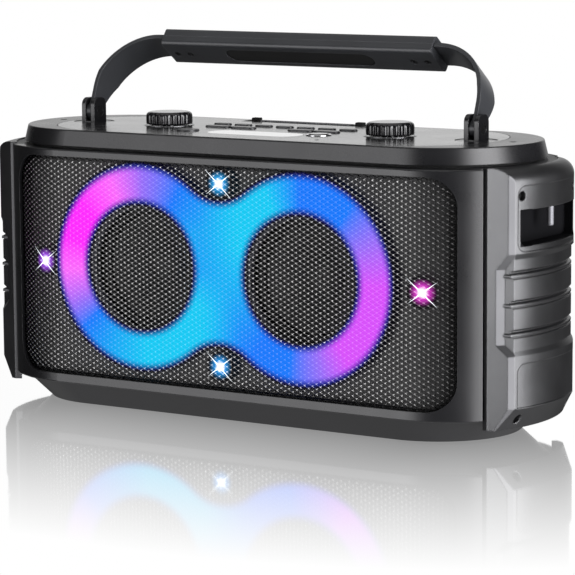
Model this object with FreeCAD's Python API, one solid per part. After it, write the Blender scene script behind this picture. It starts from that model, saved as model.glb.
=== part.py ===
"""Portable two-driver party speaker with a folding carry handle.

Frame: origin on the resting surface under the centre of the cabinet, +X to the
speaker's right-hand end as its front is looked at, -Y out of the front grille, +Z up.
All lengths are millimetres and all angles are degrees.
"""
import FreeCAD, Part
import math
import os

os.makedirs("parts", exist_ok=True)

# ---------------------------------------------------------------- driving dimensions
WALL = 3.0                  # moulded plastic wall
GAP = 0.1                   # assembly gap between parts that are fixed together
TRAVEL_GAP = 0.3            # gap round a part that moves

# Cabinet: a stadium in plan, straight front and back with round ends
ARC_X = 126.6               # centre of each round end
SKIN_R = 67.0               # outside of the front frame and of the back
WALL_R = 64.0               # outside of the wall under the side cheeks
INNER_R = 61.0              # inside of the wall
BODY_Z0 = 16.2
BODY_Z1 = 166.7
SEAM_Y = 47.6               # where the front frame and the back end at the cheeks

# Front frame and grille
FRAME_R_IN = 64.5
WINDOW_X = 161.8
WINDOW_Z0 = 22.1
WINDOW_Z1 = 162.3
WINDOW_CORNER_R = 18.0
GRILLE_R = 64.3
GRILLE_T = 1.0
GRILLE_X = 165.5

# Baffle, drivers and light
BAFFLE_R = 57.6
BAFFLE_T = 5.0
BAFFLE_END_Y = -40.0
DRIVER_X = 58.6
DRIVER_Z = 94.0
DRIVER_HOLE_R = 41.2
LIGHT_R_OUT = 61.5
LIGHT_R_IN = 38.5
LIGHT_WAIST = 42.0          # half height of the light band between the drivers
LIGHT_BOARD_T = 1.2
LIGHT_T = 3.6
STAR_R = 3.5
STAR_SIDE_X = 141.5
STAR_TOP_Z = 150.5
STAR_BOTTOM_Z = 37.05

BASKET_R = 50.0
BASKET_BACK_R = 30.0
BASKET_FLANGE_T = 2.5
BASKET_DEPTH = 28.0
BASKET_T = 1.5
MAGNET_R = 27.0
MAGNET_DEPTH = 20.0
POLE_R = 10.4
COIL_R = 11.9
COIL_T = 0.6
CONE_R = 33.6
CONE_T = 1.0
CONE_DEPTH = 17.0
ROLL_R_IN = 34.0
ROLL_R_OUT = 40.8
ROLL_T = 0.8
DOME_RISE = 5.0
DRIVER_SCREW_R = 2.6
DRIVER_SCREW_RING = 47.0

# Side cheeks
CHEEK_Z0 = 11.0
CHEEK_Z1 = 167.5
FLAT_START = (176.2, -46.76)
FLAT_START_BACK = (174.3, 47.35)
FLAT_SLOPE = 0.310
CHEEK_X1 = 188.0            # where the flat front of a cheek meets its bevel
GRIP_X1 = 181.0
BASE_X1 = 180.0
SIDE_CENTRE_X = 89.0
SIDE_R = 109.5
BEVEL_ANGLE = 47.0          # of the bevel's normal from straight ahead
REAR_CORNER_R = 31.0
REAR_CORNER_SHRINK = 2.5    # how much the rear corner's radius falls for each mm of inset
CHEEK_TOP_R = 9.0
GRIP_BOW = (-3.0, 2.0)       # how far the grip's bow is moved along Y and shrunk
POCKET_MARGIN = 2.5         # outside of the pocket cup round the pocket
GRIP_SHELF = 5.83           # width of the bevel in front of the grip's narrow shelf
BASE_INSET = 7.5
BEVEL_Z = 24.6
GRIP_LEVELS = (55.7, 62.8, 107.4, 116.8)
GRIP_SIDE_STEP = 3.2        # height over which the side steps in to the grip
RIB_Z = (70.4, 88.0, 105.6)
NOTCH_RISE = 1.4            # half height of the notch over each rib
NOTCH_DEPTH = 2.3
RIB_LOW = 2.9               # underside of a rib below its notch
RIB_GROOVE = (0.9, 0.9)     # height and depth of the line under a rib
RIB_HIGH = 0.9              # top of a rib's nose below its notch
RIB_NOSE_Y = -41.8          # where the ribs reach out over the shelf
RIB_NOSE_END_Y = -34.0
RIB_NOSE_T = 6.0
RIB_NOSE_R = 0.7
SIDE_AHEAD = 75.0           # how far the bowed side is run on in front of its bevel
SIDE_INSIDE_X = 120.0
CHEEK_BOX_X = (150.0, 210.0)
CHEEK_BOX_Y = (-60.0, 60.0)
PANEL_DEPTH = 1.0
PANEL_Y = 37.6
PANEL_CORNER_R = 6.0
UPPER_PANEL_Z = (117.6, 156.8)
LOWER_PANEL_Z = (24.6, 51.0)
POCKET_Y = (-34.5, 36.0)
POCKET_Z = (121.0, 142.3)
POCKET_X = 184.0            # back wall of the strap pocket
POCKET_CORNER_R = 4.0
POCKET_CUP_X = 196.5
POCKET_CUP_Z = (POCKET_Z[0] - 5, POCKET_Z[1] + 5)
PEG_X = 193.4
PEG_R = 2.05
PEG_LENGTH = 12.4
CHEEK_SCREW_R = 2.8
CHEEK_SCREWS = ((-33.5, 150.8, 0.0), (29.0, 150.8, 0.0), (-33.0, 17.6, 3.9), (29.0, 17.6, 3.9))

# Top deck
DECK_Z0 = 168.6
DECK_Z1 = 178.8
DECK_BOTTOM = (184.2, 62.35)
DECK_TOP = (181.6, 60.4)
PLATE = (158.0, 58.8)
PLATE_T = 3.0
PLATE_GROOVE = 0.5
DECK_VOID = (152.0, 57.5)
GASKET = (178.5, 57.8)
GASKET_IN = (148.0, 51.0)
TOP_HOLE = (146.0, 48.0)
DECK_EDGE_R = 0.9

KNOB_X = 82.7
KNOB_R = 15.0
KNOB_Z0 = 179.5
KNOB_Z1 = 187.6
KNOB_FLUTES = 28
KNOB_FLUTE_R = 1.1
KNOB_EDGE_R = 1.3
KNOB_SHAFT_R = 3.0
POT_BUSH_R = 4.6

BUTTON_Y = 18.0
BUTTON_X0 = -53.0
BUTTON_PITCH = 15.8
BUTTON_COUNT = 7
BUTTON_SIZE = (12.4, 6.0)
KEY_Y = 1.5
KEY_CENTRES = (-45.6, -26.4, 16.8, 36.0)
KEY_SIZE = (18.2, 7.0)
KEY_PROUD = 1.0
KEY_TRAVEL = 1.0
KEY_EDGE_R = 0.6
ROUND_KEY = (-49.0, -28.0, 7.2)
POWER_BUTTON = (41.5, -17.0, 6.2)
POWER_RING_T = 1.5
DISPLAY = (0.0, -25.5, 66.0, 24.0)
DISPLAY_CORNER_R = 11.0
DISPLAY_T = 1.6

SLOT_X = (-55.0, 35.0)
SLOT_Y = (45.6, 50.4)
SLOT_LEDGE_Y = 55.6
SLOT_Z0 = 170.6
SLOT_WALL = 1.2
STOP_SIZE = (5.6, 4.0, 2.0)
STOP_INSET = 2.6

# Handle: built upright over its pivot, then leant back
PIVOT_Z = 185.5
PIVOT_X = 143.0
LEAN = 36.0
ARM_BEND_R = 38.0
ARM_RISE = 52.2             # pivot to the middle of the grip
ARM_T = 2.6
ARM_HALF_W = 11.0
ARM_HALF_W_PIVOT = 5.8
ARM_TAPER_END = 25.0
TONGUE_T = 3.9
TONGUE_R = 5.8
EAR_GAP = 4.2
CLEVIS_W = 10.0
CLEVIS_HALF_D = 6.6
CLEVIS_TOP = 9.0
CLEVIS_CORNER_R = 5.0
CLEVIS_BASE_R = 12.8
CLEVIS_RECESS_R = 13.2
CLEVIS_RECESS = 1.5
PIN_R = 2.0
PIN_HEAD_R = 3.4
PIN_HEAD_T = 0.9
GRIP_HALF_X = 101.0
GRIP_HALF_W = 12.15
GRIP_T = 12.4
GRIP_EDGE_R = 2.6
GRIP_SOCKET = 12.0
GRIP_PAD = (110.0, 13.0)
GRIP_PAD_T = 1.0
GRIP_SCREW_X = (84.0, 94.0)
GRIP_SCREW_R = 2.4

# Base
PLINTH_BOTTOM = (168.5, 52.1)
PLINTH_TOP = (186.0, 63.5)
PLINTH_Z0 = 1.0
FOOT_R = 9.0
FOOT_X = 118.0
FOOT_Y = 34.0

# Back
JACK_PANEL = (0.0, 84.0, 96.0, 36.0)
JACK_PANEL_R = 5.0
JACK_PANEL_Y = 65.5
BOARD_Y = 42.0
MIC_JACK_R = 3.2
MIC_JACK_X = (-36.0, -18.0)
AUX_JACK_R = 1.8
AUX_JACK_X = 0.0
JACK_DEPTH = 16.0
JACK_BODY_EXTRA = 2.8
USB_X = 17.0
USB_SIZE = (13.2, 5.8)
CHARGE_X = 36.0
CHARGE_R = 2.8
PORT_X = 112.0
PORT_Z = 112.0
PORT_R = 14.0
PORT_T = 2.0
PORT_LENGTH = 58.0
REAR_SCREW_R = 3.2
REAR_SCREWS = tuple((x, z) for x in (-112.0, -56.0, 56.0, 112.0) for z in (30.0, 152.0))

# Fine details
SPAN = 300.0                # larger than the whole speaker
NEAR = 0.01                 # two lengths this close count as the same
TINY = 1e-6
OPENING_Y = (SKIN_R - 8.0, SKIN_R + 1.0) # how far back the openings in the rear wall are cut
REAR_SCREW_SINK = 1.4
REAR_SCREW_BELOW = 0.3
REAR_SLOT = (4.0, 0.8, 0.6) # length, width and depth of a screw slot
LIGHT_BOARD_INSET = 1.5
STAR_LENGTH = (2.0, 1.5)    # in front of and behind the plane of a star lens
DRIVER_FIT = 0.2            # clearance of a driver in its hole
BASKET_LIP = (1.2, 0.6)
TACT_GAP = 0.2              # free travel left over a switch
SEAT_GAP = 0.3              # between the surround and the baffle
SPIDER = (5.5, 0.7, 0.4)    # in front of the basket's back, thickness and side clearance
CONE_CAP = (13.5, 5.0)      # radius of the dust cap, and where the voice coil ends
ROLL_STEPS = 8
BASKET_WINDOW = (22.0, 14.0, 24.0, 60.0) # width, depth and reach of the windows in a basket
INNER_Y_STEP = 2.4          # how far the cheek's inner wall starts behind its flat
CHEEK_SCREW_SEAT = (5.4, 3.2) # depth of the underside and of the top of a cheek screw
CHEEK_SLOT = (0.8, 3.6, 0.8) # width, length and depth of each arm of its cross
PEG_END_R = 1.2
DECK_HOLE = (2.2, 168.0)    # radius and place of the small hole at each end of the deck
DISPLAY_LEDGE = 3.0         # ledge under the window's edge
RING_RISE = (0.6, 0.4)      # how far the power ring stands up, and its edge radius
MODULE = (1.5, 4.0, 5.0)    # thickness below the plate, inset and corner change of the display module
KEY_BOARD = ((-70.0, 70.0), (-42.0, 30.0), 1.6) # X and Y limits and thickness of the key board
SWITCH = (2.6, 0.8, 1.2)    # half width and height of a switch, radius of its plunger
BATTERY = ((150.0, 36.0), 6.0, 40.0, 30.0) # size, corner radius, height and Y of the battery
AMP_BOARD = ((-84.0, 84.0), (64.0, 128.0), 1.6) # X and Z limits and thickness of the amplifier board
HEAT_SINK = ((-30.0, 30.0), (96.0, 126.0), 10.0)
SINK_FINS = (7, -28.0, 8.0, 5.0, 8.0) # count, first X, pitch, slot width and slot depth
PANEL_CUT_Y = (50.0, 70.0)  # limits of the cuts through the jack panel


# ---------------------------------------------------------------- helpers
def vec(x, y, z=0.0):
    """A point or direction."""
    return FreeCAD.Vector(x, y, z)


X_AXIS = vec(1, 0, 0)
Y_AXIS = vec(0, 1, 0)
Z_AXIS = vec(0, 0, 1)


def box(x, y, z):
    """A box between three pairs of limits."""
    return Part.makeBox(x[1] - x[0], y[1] - y[0], z[1] - z[0], vec(x[0], y[0], z[0]))


def rod_x(radius, x, y, z):
    """A cylinder along X between the two values of x."""
    return Part.makeCylinder(radius, x[1] - x[0], vec(x[0], y, z), X_AXIS)


def rod_y(radius, x, y, z):
    """A cylinder along Y between the two values of y."""
    return Part.makeCylinder(radius, y[1] - y[0], vec(x, y[0], z), Y_AXIS)


def rod_z(radius, x, y, z):
    """A cylinder along Z between the two values of z."""
    return Part.makeCylinder(radius, z[1] - z[0], vec(x, y, z[0]), Z_AXIS)


def line(a, b):
    """A straight edge."""
    return Part.LineSegment(a, b).toShape()


def arc(a, b, c):
    """A circular edge from a through b to c."""
    return Part.Arc(a, b, c).toShape()


def stadium(size, z, centre=(0.0, 0.0)):
    """A closed wire at height z: straight along X, with semicircular ends."""
    length, depth = size
    x0, y0 = centre
    run = length - depth
    front_left = vec(x0 - run, y0 - depth, z)
    front_right = vec(x0 + run, y0 - depth, z)
    back_right = vec(x0 + run, y0 + depth, z)
    back_left = vec(x0 - run, y0 + depth, z)
    return Part.Wire([
        line(front_left, front_right),
        arc(front_right, vec(x0 + length, y0, z), back_right),
        line(back_right, back_left),
        arc(back_left, vec(x0 - length, y0, z), front_left),
    ])


def stadium_prism(size, z, centre=(0.0, 0.0)):
    """A stadium, given as half length and half depth, between two heights."""
    face = Part.Face(stadium(size, z[0], centre))
    return face.extrude(vec(0, 0, z[1] - z[0]))


def stadium_frustum(bottom, top, z):
    """A stadium that changes size evenly between two heights."""
    return Part.makeLoft([stadium(bottom, z[0]), stadium(top, z[1])], True, True)


def body_prism(radius, z):
    """The cabinet's plan with its round ends at the given radius."""
    return stadium_prism((ARC_X + radius, radius), z)


def skin(outer, inner, z):
    """The layer between two radii of the cabinet's plan."""
    return body_prism(outer, z).cut(body_prism(inner, z))


def in_front_of(y):
    """Everything on the front side of a value of y."""
    return box((-SPAN, SPAN), (-SPAN, y), (-SPAN, SPAN))


def behind(y):
    """Everything on the back side of a value of y."""
    return box((-SPAN, SPAN), (y, SPAN), (-SPAN, SPAN))


def fillet_where(shape, radius, test):
    """Round the edges whose middle point passes the test."""
    edges = [edge for edge in shape.Edges if test(edge.CenterOfMass, edge)]
    return shape.makeFillet(radius, edges)


def rounded_bar(size, radius, axis_limits, axis, centre=(0.0, 0.0)):
    """A rectangle with round corners, extruded along one axis.

    size is the two full sides in axis order, with the extruded axis left out.
    """
    a, b = size[0] / 2, size[1] / 2
    length = axis_limits[1] - axis_limits[0]
    if axis == "x":
        solid = box(axis_limits, (centre[0] - a, centre[0] + a), (centre[1] - b, centre[1] + b))
    elif axis == "y":
        solid = box((centre[0] - a, centre[0] + a), axis_limits, (centre[1] - b, centre[1] + b))
    else:
        solid = box((centre[0] - a, centre[0] + a), (centre[1] - b, centre[1] + b), axis_limits)
    along = {"x": X_AXIS, "y": Y_AXIS, "z": Z_AXIS}[axis]

    def is_corner(middle, edge):
        direction = edge.Vertexes[-1].Point - edge.Vertexes[0].Point
        return abs(abs(direction.dot(along)) - length) < TINY
    return fillet_where(solid, radius, is_corner)


def revolve_y(points, x, z):
    """Turn a closed profile of (radius, y) points about a line along Y."""
    corners = [vec(x + radius, y, z) for radius, y in points]
    wire = Part.makePolygon(corners + corners[:1])
    return Part.Face(wire).revolve(vec(x, 0, z), Y_AXIS, 360)


def fuse(shapes):
    """One solid from several that touch or overlap."""
    result = shapes[0].fuse(shapes[1:]) if len(shapes) > 1 else shapes[0]
    return result.removeSplitter()


def mirrored(shape):
    """The same part for the other end of the speaker."""
    return shape.mirror(vec(0, 0, 0), X_AXIS)


def both_ends(shape):
    """A group of a solid and its mirror image."""
    return Part.makeCompound([shape, mirrored(shape)])


def leant(shape):
    """Lean a handle part back from upright to where the handle rests."""
    return shape.rotate(vec(0, 0, PIVOT_Z), X_AXIS, -LEAN)


def export(node, shape):
    """Write one sub-part, after testing that it is sound."""
    if not shape.isValid() or shape.Volume <= 0:
        raise ValueError(node + " is not a sound solid")
    shape.exportStep("parts/" + node + ".step")
    print(node, len(shape.Solids), "solid(s),", round(shape.Volume), "mm3")


# ---------------------------------------------------------------- cabinet
def pocket_cup(clearance):
    """The outside of the strap pocket's cup, in the right-hand cheek."""
    grow = POCKET_MARGIN + clearance
    return box((POCKET_X - grow, POCKET_CUP_X),
               (POCKET_Y[0] - grow, POCKET_Y[1] + grow),
               (POCKET_Z[0] - grow, POCKET_Z[1] + grow))


def rear_cabinet():
    """Back, side walls, floor and roof of the enclosure in one moulding."""
    z = (BODY_Z0, BODY_Z1)
    back = skin(SKIN_R, WALL_R, z).common(behind(SEAM_Y))
    joint = skin(SKIN_R, INNER_R, z).common(behind(SEAM_Y)).cut(behind(SEAM_Y + WALL))
    sides = skin(WALL_R, INNER_R, z).cut(behind(SEAM_Y + WALL)).cut(in_front_of(-SEAM_Y + 1.0))
    floor = body_prism(INNER_R, (BODY_Z0, BODY_Z0 + WALL))
    roof = body_prism(INNER_R, (BODY_Z1 - WALL, BODY_Z1)).cut(stadium_prism(TOP_HOLE, z))
    back_rim = body_prism(WALL_R, z).cut(body_prism(INNER_R - GAP, z)).common(behind(SEAM_Y))
    rims = [back_rim.common(box((-SPAN, SPAN), (-SPAN, SPAN), level))
            for level in ((BODY_Z0, BODY_Z0 + WALL), (BODY_Z1 - WALL, BODY_Z1))]
    shell = fuse([back, joint, sides, floor, roof] + rims)
    shell = shell.cut([pocket_cup(TRAVEL_GAP), mirrored(pocket_cup(TRAVEL_GAP))])
    x, z_mid, length, height = JACK_PANEL
    opening = rounded_bar((length, height), JACK_PANEL_R, OPENING_Y, "y", (x, z_mid))
    port_hole = rod_y(PORT_R + PORT_T, PORT_X, OPENING_Y, PORT_Z)
    sinks = [rod_y(REAR_SCREW_R, x, (SKIN_R - REAR_SCREW_SINK, SKIN_R + 1), z) for x, z in REAR_SCREWS]
    return shell.cut([opening, port_hole] + sinks)


def front_frame():
    """Wrap-round frame of the front, with the window that the grille shows through."""
    z = (BODY_Z0, BODY_Z1)
    face = skin(SKIN_R, FRAME_R_IN, z)
    rims = [skin(SKIN_R, INNER_R + GAP, level)
            for level in ((BODY_Z0, BODY_Z0 + WALL), (BODY_Z1 - WALL, BODY_Z1))]
    frame = fuse([face] + rims).common(in_front_of(-SEAM_Y))
    size = (2 * WINDOW_X, WINDOW_Z1 - WINDOW_Z0)
    middle = (WINDOW_Z0 + WINDOW_Z1) / 2
    window = rounded_bar(size, WINDOW_CORNER_R, (-SKIN_R - 1, -SEAM_Y + 1), "y", (0.0, middle))
    frame = frame.cut(window)

    def is_outer_rim(point, edge):
        outside = abs(point.y) > SEAM_Y + 0.5 and abs(edge.Vertexes[0].Z - edge.Vertexes[-1].Z) < NEAR
        at_end = abs(point.z - BODY_Z0) < NEAR or abs(point.z - BODY_Z1) < NEAR
        start = edge.Vertexes[0].Point
        radius = math.hypot(max(abs(start.x) - ARC_X, 0), start.y)
        return outside and at_end and abs(radius - SKIN_R) < NEAR
    return fillet_where(frame, 1.0, is_outer_rim)


def grille():
    """Perforated metal sheet behind the frame, here as a plain sheet."""
    sheet = skin(GRILLE_R, GRILLE_R - GRILLE_T, (BODY_Z0 + WALL + GAP, BODY_Z1 - WALL - GAP))
    ends = box((-GRILLE_X, GRILLE_X), (-SKIN_R, -SEAM_Y), (0, SPAN))
    return sheet.common(ends)


def front_baffle():
    """Board that carries the drivers and the light, with a rim out to the cabinet wall."""
    z0 = BODY_Z0 + WALL + GAP
    z1 = BODY_Z1 - WALL - GAP
    board = skin(BAFFLE_R, BAFFLE_R - BAFFLE_T, (z0, z1)).common(in_front_of(BAFFLE_END_Y))
    rims = [skin(INNER_R - GAP, BAFFLE_R - BAFFLE_T, level).common(in_front_of(BAFFLE_END_Y))
            for level in ((z0, z0 + WALL), (z1 - WALL, z1))]
    posts = skin(INNER_R - GAP, BAFFLE_R - 1, (z0, z1)).common(in_front_of(BAFFLE_END_Y))
    posts = posts.cut(in_front_of(BAFFLE_END_Y - WALL))
    baffle = fuse([board, posts] + rims)
    holes = [rod_y(DRIVER_HOLE_R, side * DRIVER_X, (-SKIN_R, 0), DRIVER_Z) for side in (-1, 1)]
    return baffle.cut(holes)


# ---------------------------------------------------------------- light
def figure_eight(radius, waist, y):
    """Solid of two circles round the drivers joined by a smooth waist."""
    blend = (DRIVER_X ** 2 + waist ** 2 - radius ** 2) / (2 * (radius - waist))
    rise = waist + blend
    reach = math.hypot(DRIVER_X, rise)
    touch_x = DRIVER_X - radius * DRIVER_X / reach
    touch_z = radius * rise / reach

    def point(x, z):
        return vec(x, y[0], DRIVER_Z + z)
    edges = [
        arc(point(touch_x, touch_z), point(DRIVER_X + radius, 0), point(touch_x, -touch_z)),
        arc(point(touch_x, -touch_z), point(0, -waist), point(-touch_x, -touch_z)),
        arc(point(-touch_x, -touch_z), point(-DRIVER_X - radius, 0), point(-touch_x, touch_z)),
        arc(point(-touch_x, touch_z), point(0, waist), point(touch_x, touch_z)),
    ]
    return Part.Face(Part.Wire(edges)).extrude(vec(0, y[1] - y[0], 0))


def light_band(edge_inset, y):
    """The figure eight with a round hole in front of each driver."""
    band = figure_eight(LIGHT_R_OUT - edge_inset, LIGHT_WAIST - edge_inset, y)
    hole_r = LIGHT_R_IN + edge_inset
    holes = [rod_y(hole_r, side * DRIVER_X, (y[0] - 1, y[1] + 1), DRIVER_Z) for side in (-1, 1)]
    return band.cut(holes)


def light_guide():
    """Diffuser that the coloured light comes out of."""
    back = -BAFFLE_R - LIGHT_BOARD_T - GAP
    return light_band(0.0, (back - LIGHT_T, back))


def light_board():
    """Circuit board with the coloured lamps, behind the diffuser."""
    return light_band(LIGHT_BOARD_INSET, (-BAFFLE_R - LIGHT_BOARD_T, -BAFFLE_R))


def star_lenses():
    """Four small domed lenses round the light."""
    places = ((-STAR_SIDE_X, DRIVER_Z), (STAR_SIDE_X, DRIVER_Z), (0, STAR_TOP_Z), (0, STAR_BOTTOM_Z))
    lenses = []
    for x, z in places:
        front = -math.sqrt(BAFFLE_R ** 2 - max(abs(x) - ARC_X, 0) ** 2)
        barrel = rod_y(STAR_R, x, (front - STAR_LENGTH[0], front + STAR_LENGTH[1]), z)
        dome = Part.makeSphere(STAR_R, vec(x, front - 2.0, z)).common(in_front_of(front - 2.0))
        lenses.append(fuse([barrel, dome]).cut(body_prism(BAFFLE_R, (z - STAR_R - 1, z + STAR_R + 1))))
    return Part.makeCompound(lenses)


# ---------------------------------------------------------------- drivers
BACK_OF_BAFFLE = -BAFFLE_R + BAFFLE_T
FLANGE_BACK = BACK_OF_BAFFLE + BASKET_FLANGE_T
BASKET_BACK = FLANGE_BACK + BASKET_DEPTH


def woofer_basket(x):
    """Pressed frame of a driver, with four windows round its cone."""
    front = BACK_OF_BAFFLE
    rim_r = DRIVER_HOLE_R + 1.0
    hole_r = DRIVER_HOLE_R - DRIVER_FIT
    lip = FLANGE_BACK - BASKET_LIP[1]
    cup = revolve_y([
        (hole_r, front), (BASKET_R, front), (BASKET_R, FLANGE_BACK), (rim_r + BASKET_T, FLANGE_BACK),
        (BASKET_BACK_R, BASKET_BACK), (COIL_R + 1.0, BASKET_BACK), (COIL_R + 1.0, BASKET_BACK - BASKET_T),
        (BASKET_BACK_R - BASKET_T, BASKET_BACK - BASKET_T), (rim_r - BASKET_LIP[0], lip), (hole_r, lip),
    ], x, DRIVER_Z)
    middle = (FLANGE_BACK + BASKET_BACK) / 2
    windows = []
    width, depth, near, far = BASKET_WINDOW
    for quarter in range(4):
        window = box((x - width / 2, x + width / 2), (middle - depth / 2, middle + depth / 2),
                     (DRIVER_Z + near, DRIVER_Z + far))
        windows.append(window.rotate(vec(x, 0, DRIVER_Z), Y_AXIS, 90 * quarter))
    return cup.cut(windows)


def woofer_magnet(x):
    """Front plate, ring magnet, back plate and pole of a driver."""
    front = BASKET_BACK
    back = front + MAGNET_DEPTH
    ring = revolve_y([
        (COIL_R + 1.0, front), (MAGNET_R - 1, front), (MAGNET_R - 1, front + 4), (MAGNET_R, front + 4),
        (MAGNET_R, back - 4), (MAGNET_R - 1, back - 4), (MAGNET_R - 1, back), (0, back),
        (0, front), (POLE_R, front), (POLE_R, back - 5), (COIL_R + 4, back - 5),
        (COIL_R + 4, front + 4), (COIL_R + 1.0, front + 4),
    ], x, DRIVER_Z)
    return ring


def woofer_suspension(x):
    """Rubber surround in front and cloth spider behind, which centre a cone."""
    seat = BACK_OF_BAFFLE + SEAT_GAP
    middle = (ROLL_R_IN + ROLL_R_OUT) / 2
    half = (ROLL_R_OUT - ROLL_R_IN) / 2
    outer = []
    inner = []
    for step in range(ROLL_STEPS + 1):
        angle = math.pi * step / ROLL_STEPS
        outer.append((middle - half * math.cos(angle), seat - half * math.sin(angle)))
        inner.append((middle - (half - ROLL_T) * math.cos(angle), seat - (half - ROLL_T) * math.sin(angle)))
    roll = revolve_y(outer + inner[::-1], x, DRIVER_Z)
    spider_y = BASKET_BACK - SPIDER[0]
    spider_back = spider_y + SPIDER[1]
    flare = (DRIVER_HOLE_R - BASKET_BACK_R) * (SPIDER[0] - BASKET_T) / BASKET_DEPTH
    cup_r = BASKET_BACK_R - BASKET_T + flare - SPIDER[2]
    spider = revolve_y([
        (COIL_R + 0.5, spider_y), (cup_r, spider_y), (cup_r, spider_back), (COIL_R + 0.5, spider_back),
    ], x, DRIVER_Z)
    return [roll, spider]


def cone(x):
    """Paper cone with its dust cap and voice coil former: what moves in a driver."""
    front = BACK_OF_BAFFLE + 1.0
    neck = front + CONE_DEPTH
    coil_end = BASKET_BACK + CONE_CAP[1]
    cap_r = CONE_CAP[0]
    cap_y = neck - 3.0
    paper = revolve_y([
        (CONE_R - CONE_T, front), (CONE_R, front), (COIL_R, neck), (COIL_R, coil_end),
        (COIL_R - COIL_T, coil_end), (COIL_R - COIL_T, neck - CONE_T),
    ], x, DRIVER_Z)
    dome_r = (cap_r ** 2 + DOME_RISE ** 2) / (2 * DOME_RISE)
    centre = vec(x, cap_y - DOME_RISE + dome_r, DRIVER_Z)
    dome = Part.makeSphere(dome_r, centre).cut(Part.makeSphere(dome_r - CONE_T, centre))
    dome = dome.common(rod_y(cap_r, x, (cap_y - DOME_RISE - 1, cap_y + 0.6), DRIVER_Z))
    return fuse([paper, dome])


def woofer_screws():
    """Four screws through each driver's flange."""
    screws = []
    for side in (-1, 1):
        for quarter in range(4):
            angle = math.radians(45 + 90 * quarter)
            x = side * DRIVER_X + DRIVER_SCREW_RING * math.cos(angle)
            z = DRIVER_Z + DRIVER_SCREW_RING * math.sin(angle)
            head = rod_y(DRIVER_SCREW_R, x, (FLANGE_BACK, FLANGE_BACK + 1.8), z)
            screws.append(head)
    return Part.makeCompound(screws)


# ---------------------------------------------------------------- cheeks
def cheek_outline(x1, inset, z):
    """Plan of the right-hand cheek: flat, bevel, bowed side, round rear corner, flat, inner wall."""
    start = vec(FLAT_START[0], FLAT_START[1], z)
    corner = vec(x1, FLAT_START[1] + FLAT_SLOPE * (x1 - FLAT_START[0]), z)
    centre = vec(SIDE_CENTRE_X, 0, z)
    side_r = SIDE_R - inset
    rear_r = REAR_CORNER_R - REAR_CORNER_SHRINK * inset
    along = vec(math.cos(math.radians(BEVEL_ANGLE)), math.sin(math.radians(BEVEL_ANGLE)))
    offset = corner - centre
    half_b = offset.dot(along)
    reach = -half_b + math.sqrt(half_b ** 2 - offset.dot(offset) + side_r ** 2)
    bevel_end = corner + along * reach

    rear_start = vec(FLAT_START_BACK[0], FLAT_START_BACK[1], z)
    back_along = vec(1, -FLAT_SLOPE)
    back_along.normalize()
    inward = vec(-FLAT_SLOPE, -1)
    inward.normalize()
    offset = rear_start + inward * rear_r - centre
    half_b = offset.dot(back_along)
    reach = -half_b + math.sqrt(half_b ** 2 - offset.dot(offset) + (side_r - rear_r) ** 2)
    round_centre = centre + offset + back_along * reach
    out = round_centre - centre
    out.normalize()
    side_end = centre + out * side_r
    flat_end = round_centre - inward * rear_r
    bisector = out - inward
    bisector.normalize()
    round_middle = round_centre + bisector * rear_r

    inner_r = WALL_R + GAP
    inner_y = -FLAT_START_BACK[1] + INNER_Y_STEP
    inner_x = ARC_X + math.sqrt(inner_r ** 2 - inner_y ** 2)
    inner_front = vec(inner_x, inner_y, z)
    inner_back = vec(inner_x, -inner_y, z)
    return Part.Wire([
        line(start, corner),
        line(corner, bevel_end),
        arc(bevel_end, vec(SIDE_CENTRE_X + side_r, 0, z), side_end),
        arc(side_end, round_middle, flat_end),
        line(flat_end, rear_start),
        line(rear_start, inner_back),
        arc(inner_back, vec(ARC_X + inner_r, 0, z), inner_front),
        line(inner_front, start),
    ])


def cheek_prism(x1, inset, z):
    """One level of the cheek with an even section."""
    return Part.Face(cheek_outline(x1, inset, z[0])).extrude(vec(0, 0, z[1] - z[0]))


def cheek_loft(low, high, z):
    """One level of the cheek that changes section; low and high are (x1, inset)."""
    wires = [cheek_outline(low[0], low[1], z[0]), cheek_outline(high[0], high[1], z[1])]
    return Part.makeLoft(wires, True, True)


def side_wire():
    """Plan of the bowed side run on past its bevel, with the rear corner and the flat behind it."""
    front = vec(SIDE_CENTRE_X + math.sqrt(SIDE_R ** 2 - SIDE_AHEAD ** 2), -SIDE_AHEAD)
    wire = cheek_outline(CHEEK_X1, 0.0, 0.0)
    corner = wire.OrderedEdges[3]
    side_end = corner.Vertexes[0].Point
    flat_end = corner.Vertexes[-1].Point
    flat_stop = wire.OrderedEdges[4].Vertexes[-1].Point
    inside = vec(SIDE_INSIDE_X, flat_stop.y)
    inside_front = vec(SIDE_INSIDE_X, -SIDE_AHEAD)
    return Part.Wire([
        arc(front, vec(SIDE_CENTRE_X + SIDE_R, 0), side_end),
        corner,
        line(flat_end, flat_stop),
        line(flat_stop, inside),
        line(inside, inside_front),
        line(inside_front, front),
    ])


def bow_circle(bow, z):
    """Circle of the bowed side at one level; bow is how far it is moved along Y and shrunk."""
    return Part.Wire([Part.makeCircle(SIDE_R - bow[1], vec(SIDE_CENTRE_X, bow[0], z))])


def side_layer(low, high, z):
    """What lies outside the bowed side between two levels, each with its own bow."""
    core = Part.makeLoft([bow_circle(low, z[0]), bow_circle(high, z[1])], True, True)
    return box(CHEEK_BOX_X, CHEEK_BOX_Y, z).cut([core, body_prism(WALL_R + 1, z)])


def cheek_envelope():
    """Round-topped solid that gives the cheek its soft upper edge."""
    solid = Part.Face(side_wire()).extrude(vec(0, 0, CHEEK_Z1))
    start_x = FLAT_START[0] + 1.0

    def is_soft(point, edge):
        return abs(point.z - CHEEK_Z1) < NEAR and point.x > start_x
    return fillet_where(solid, CHEEK_TOP_R, is_soft)


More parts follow.
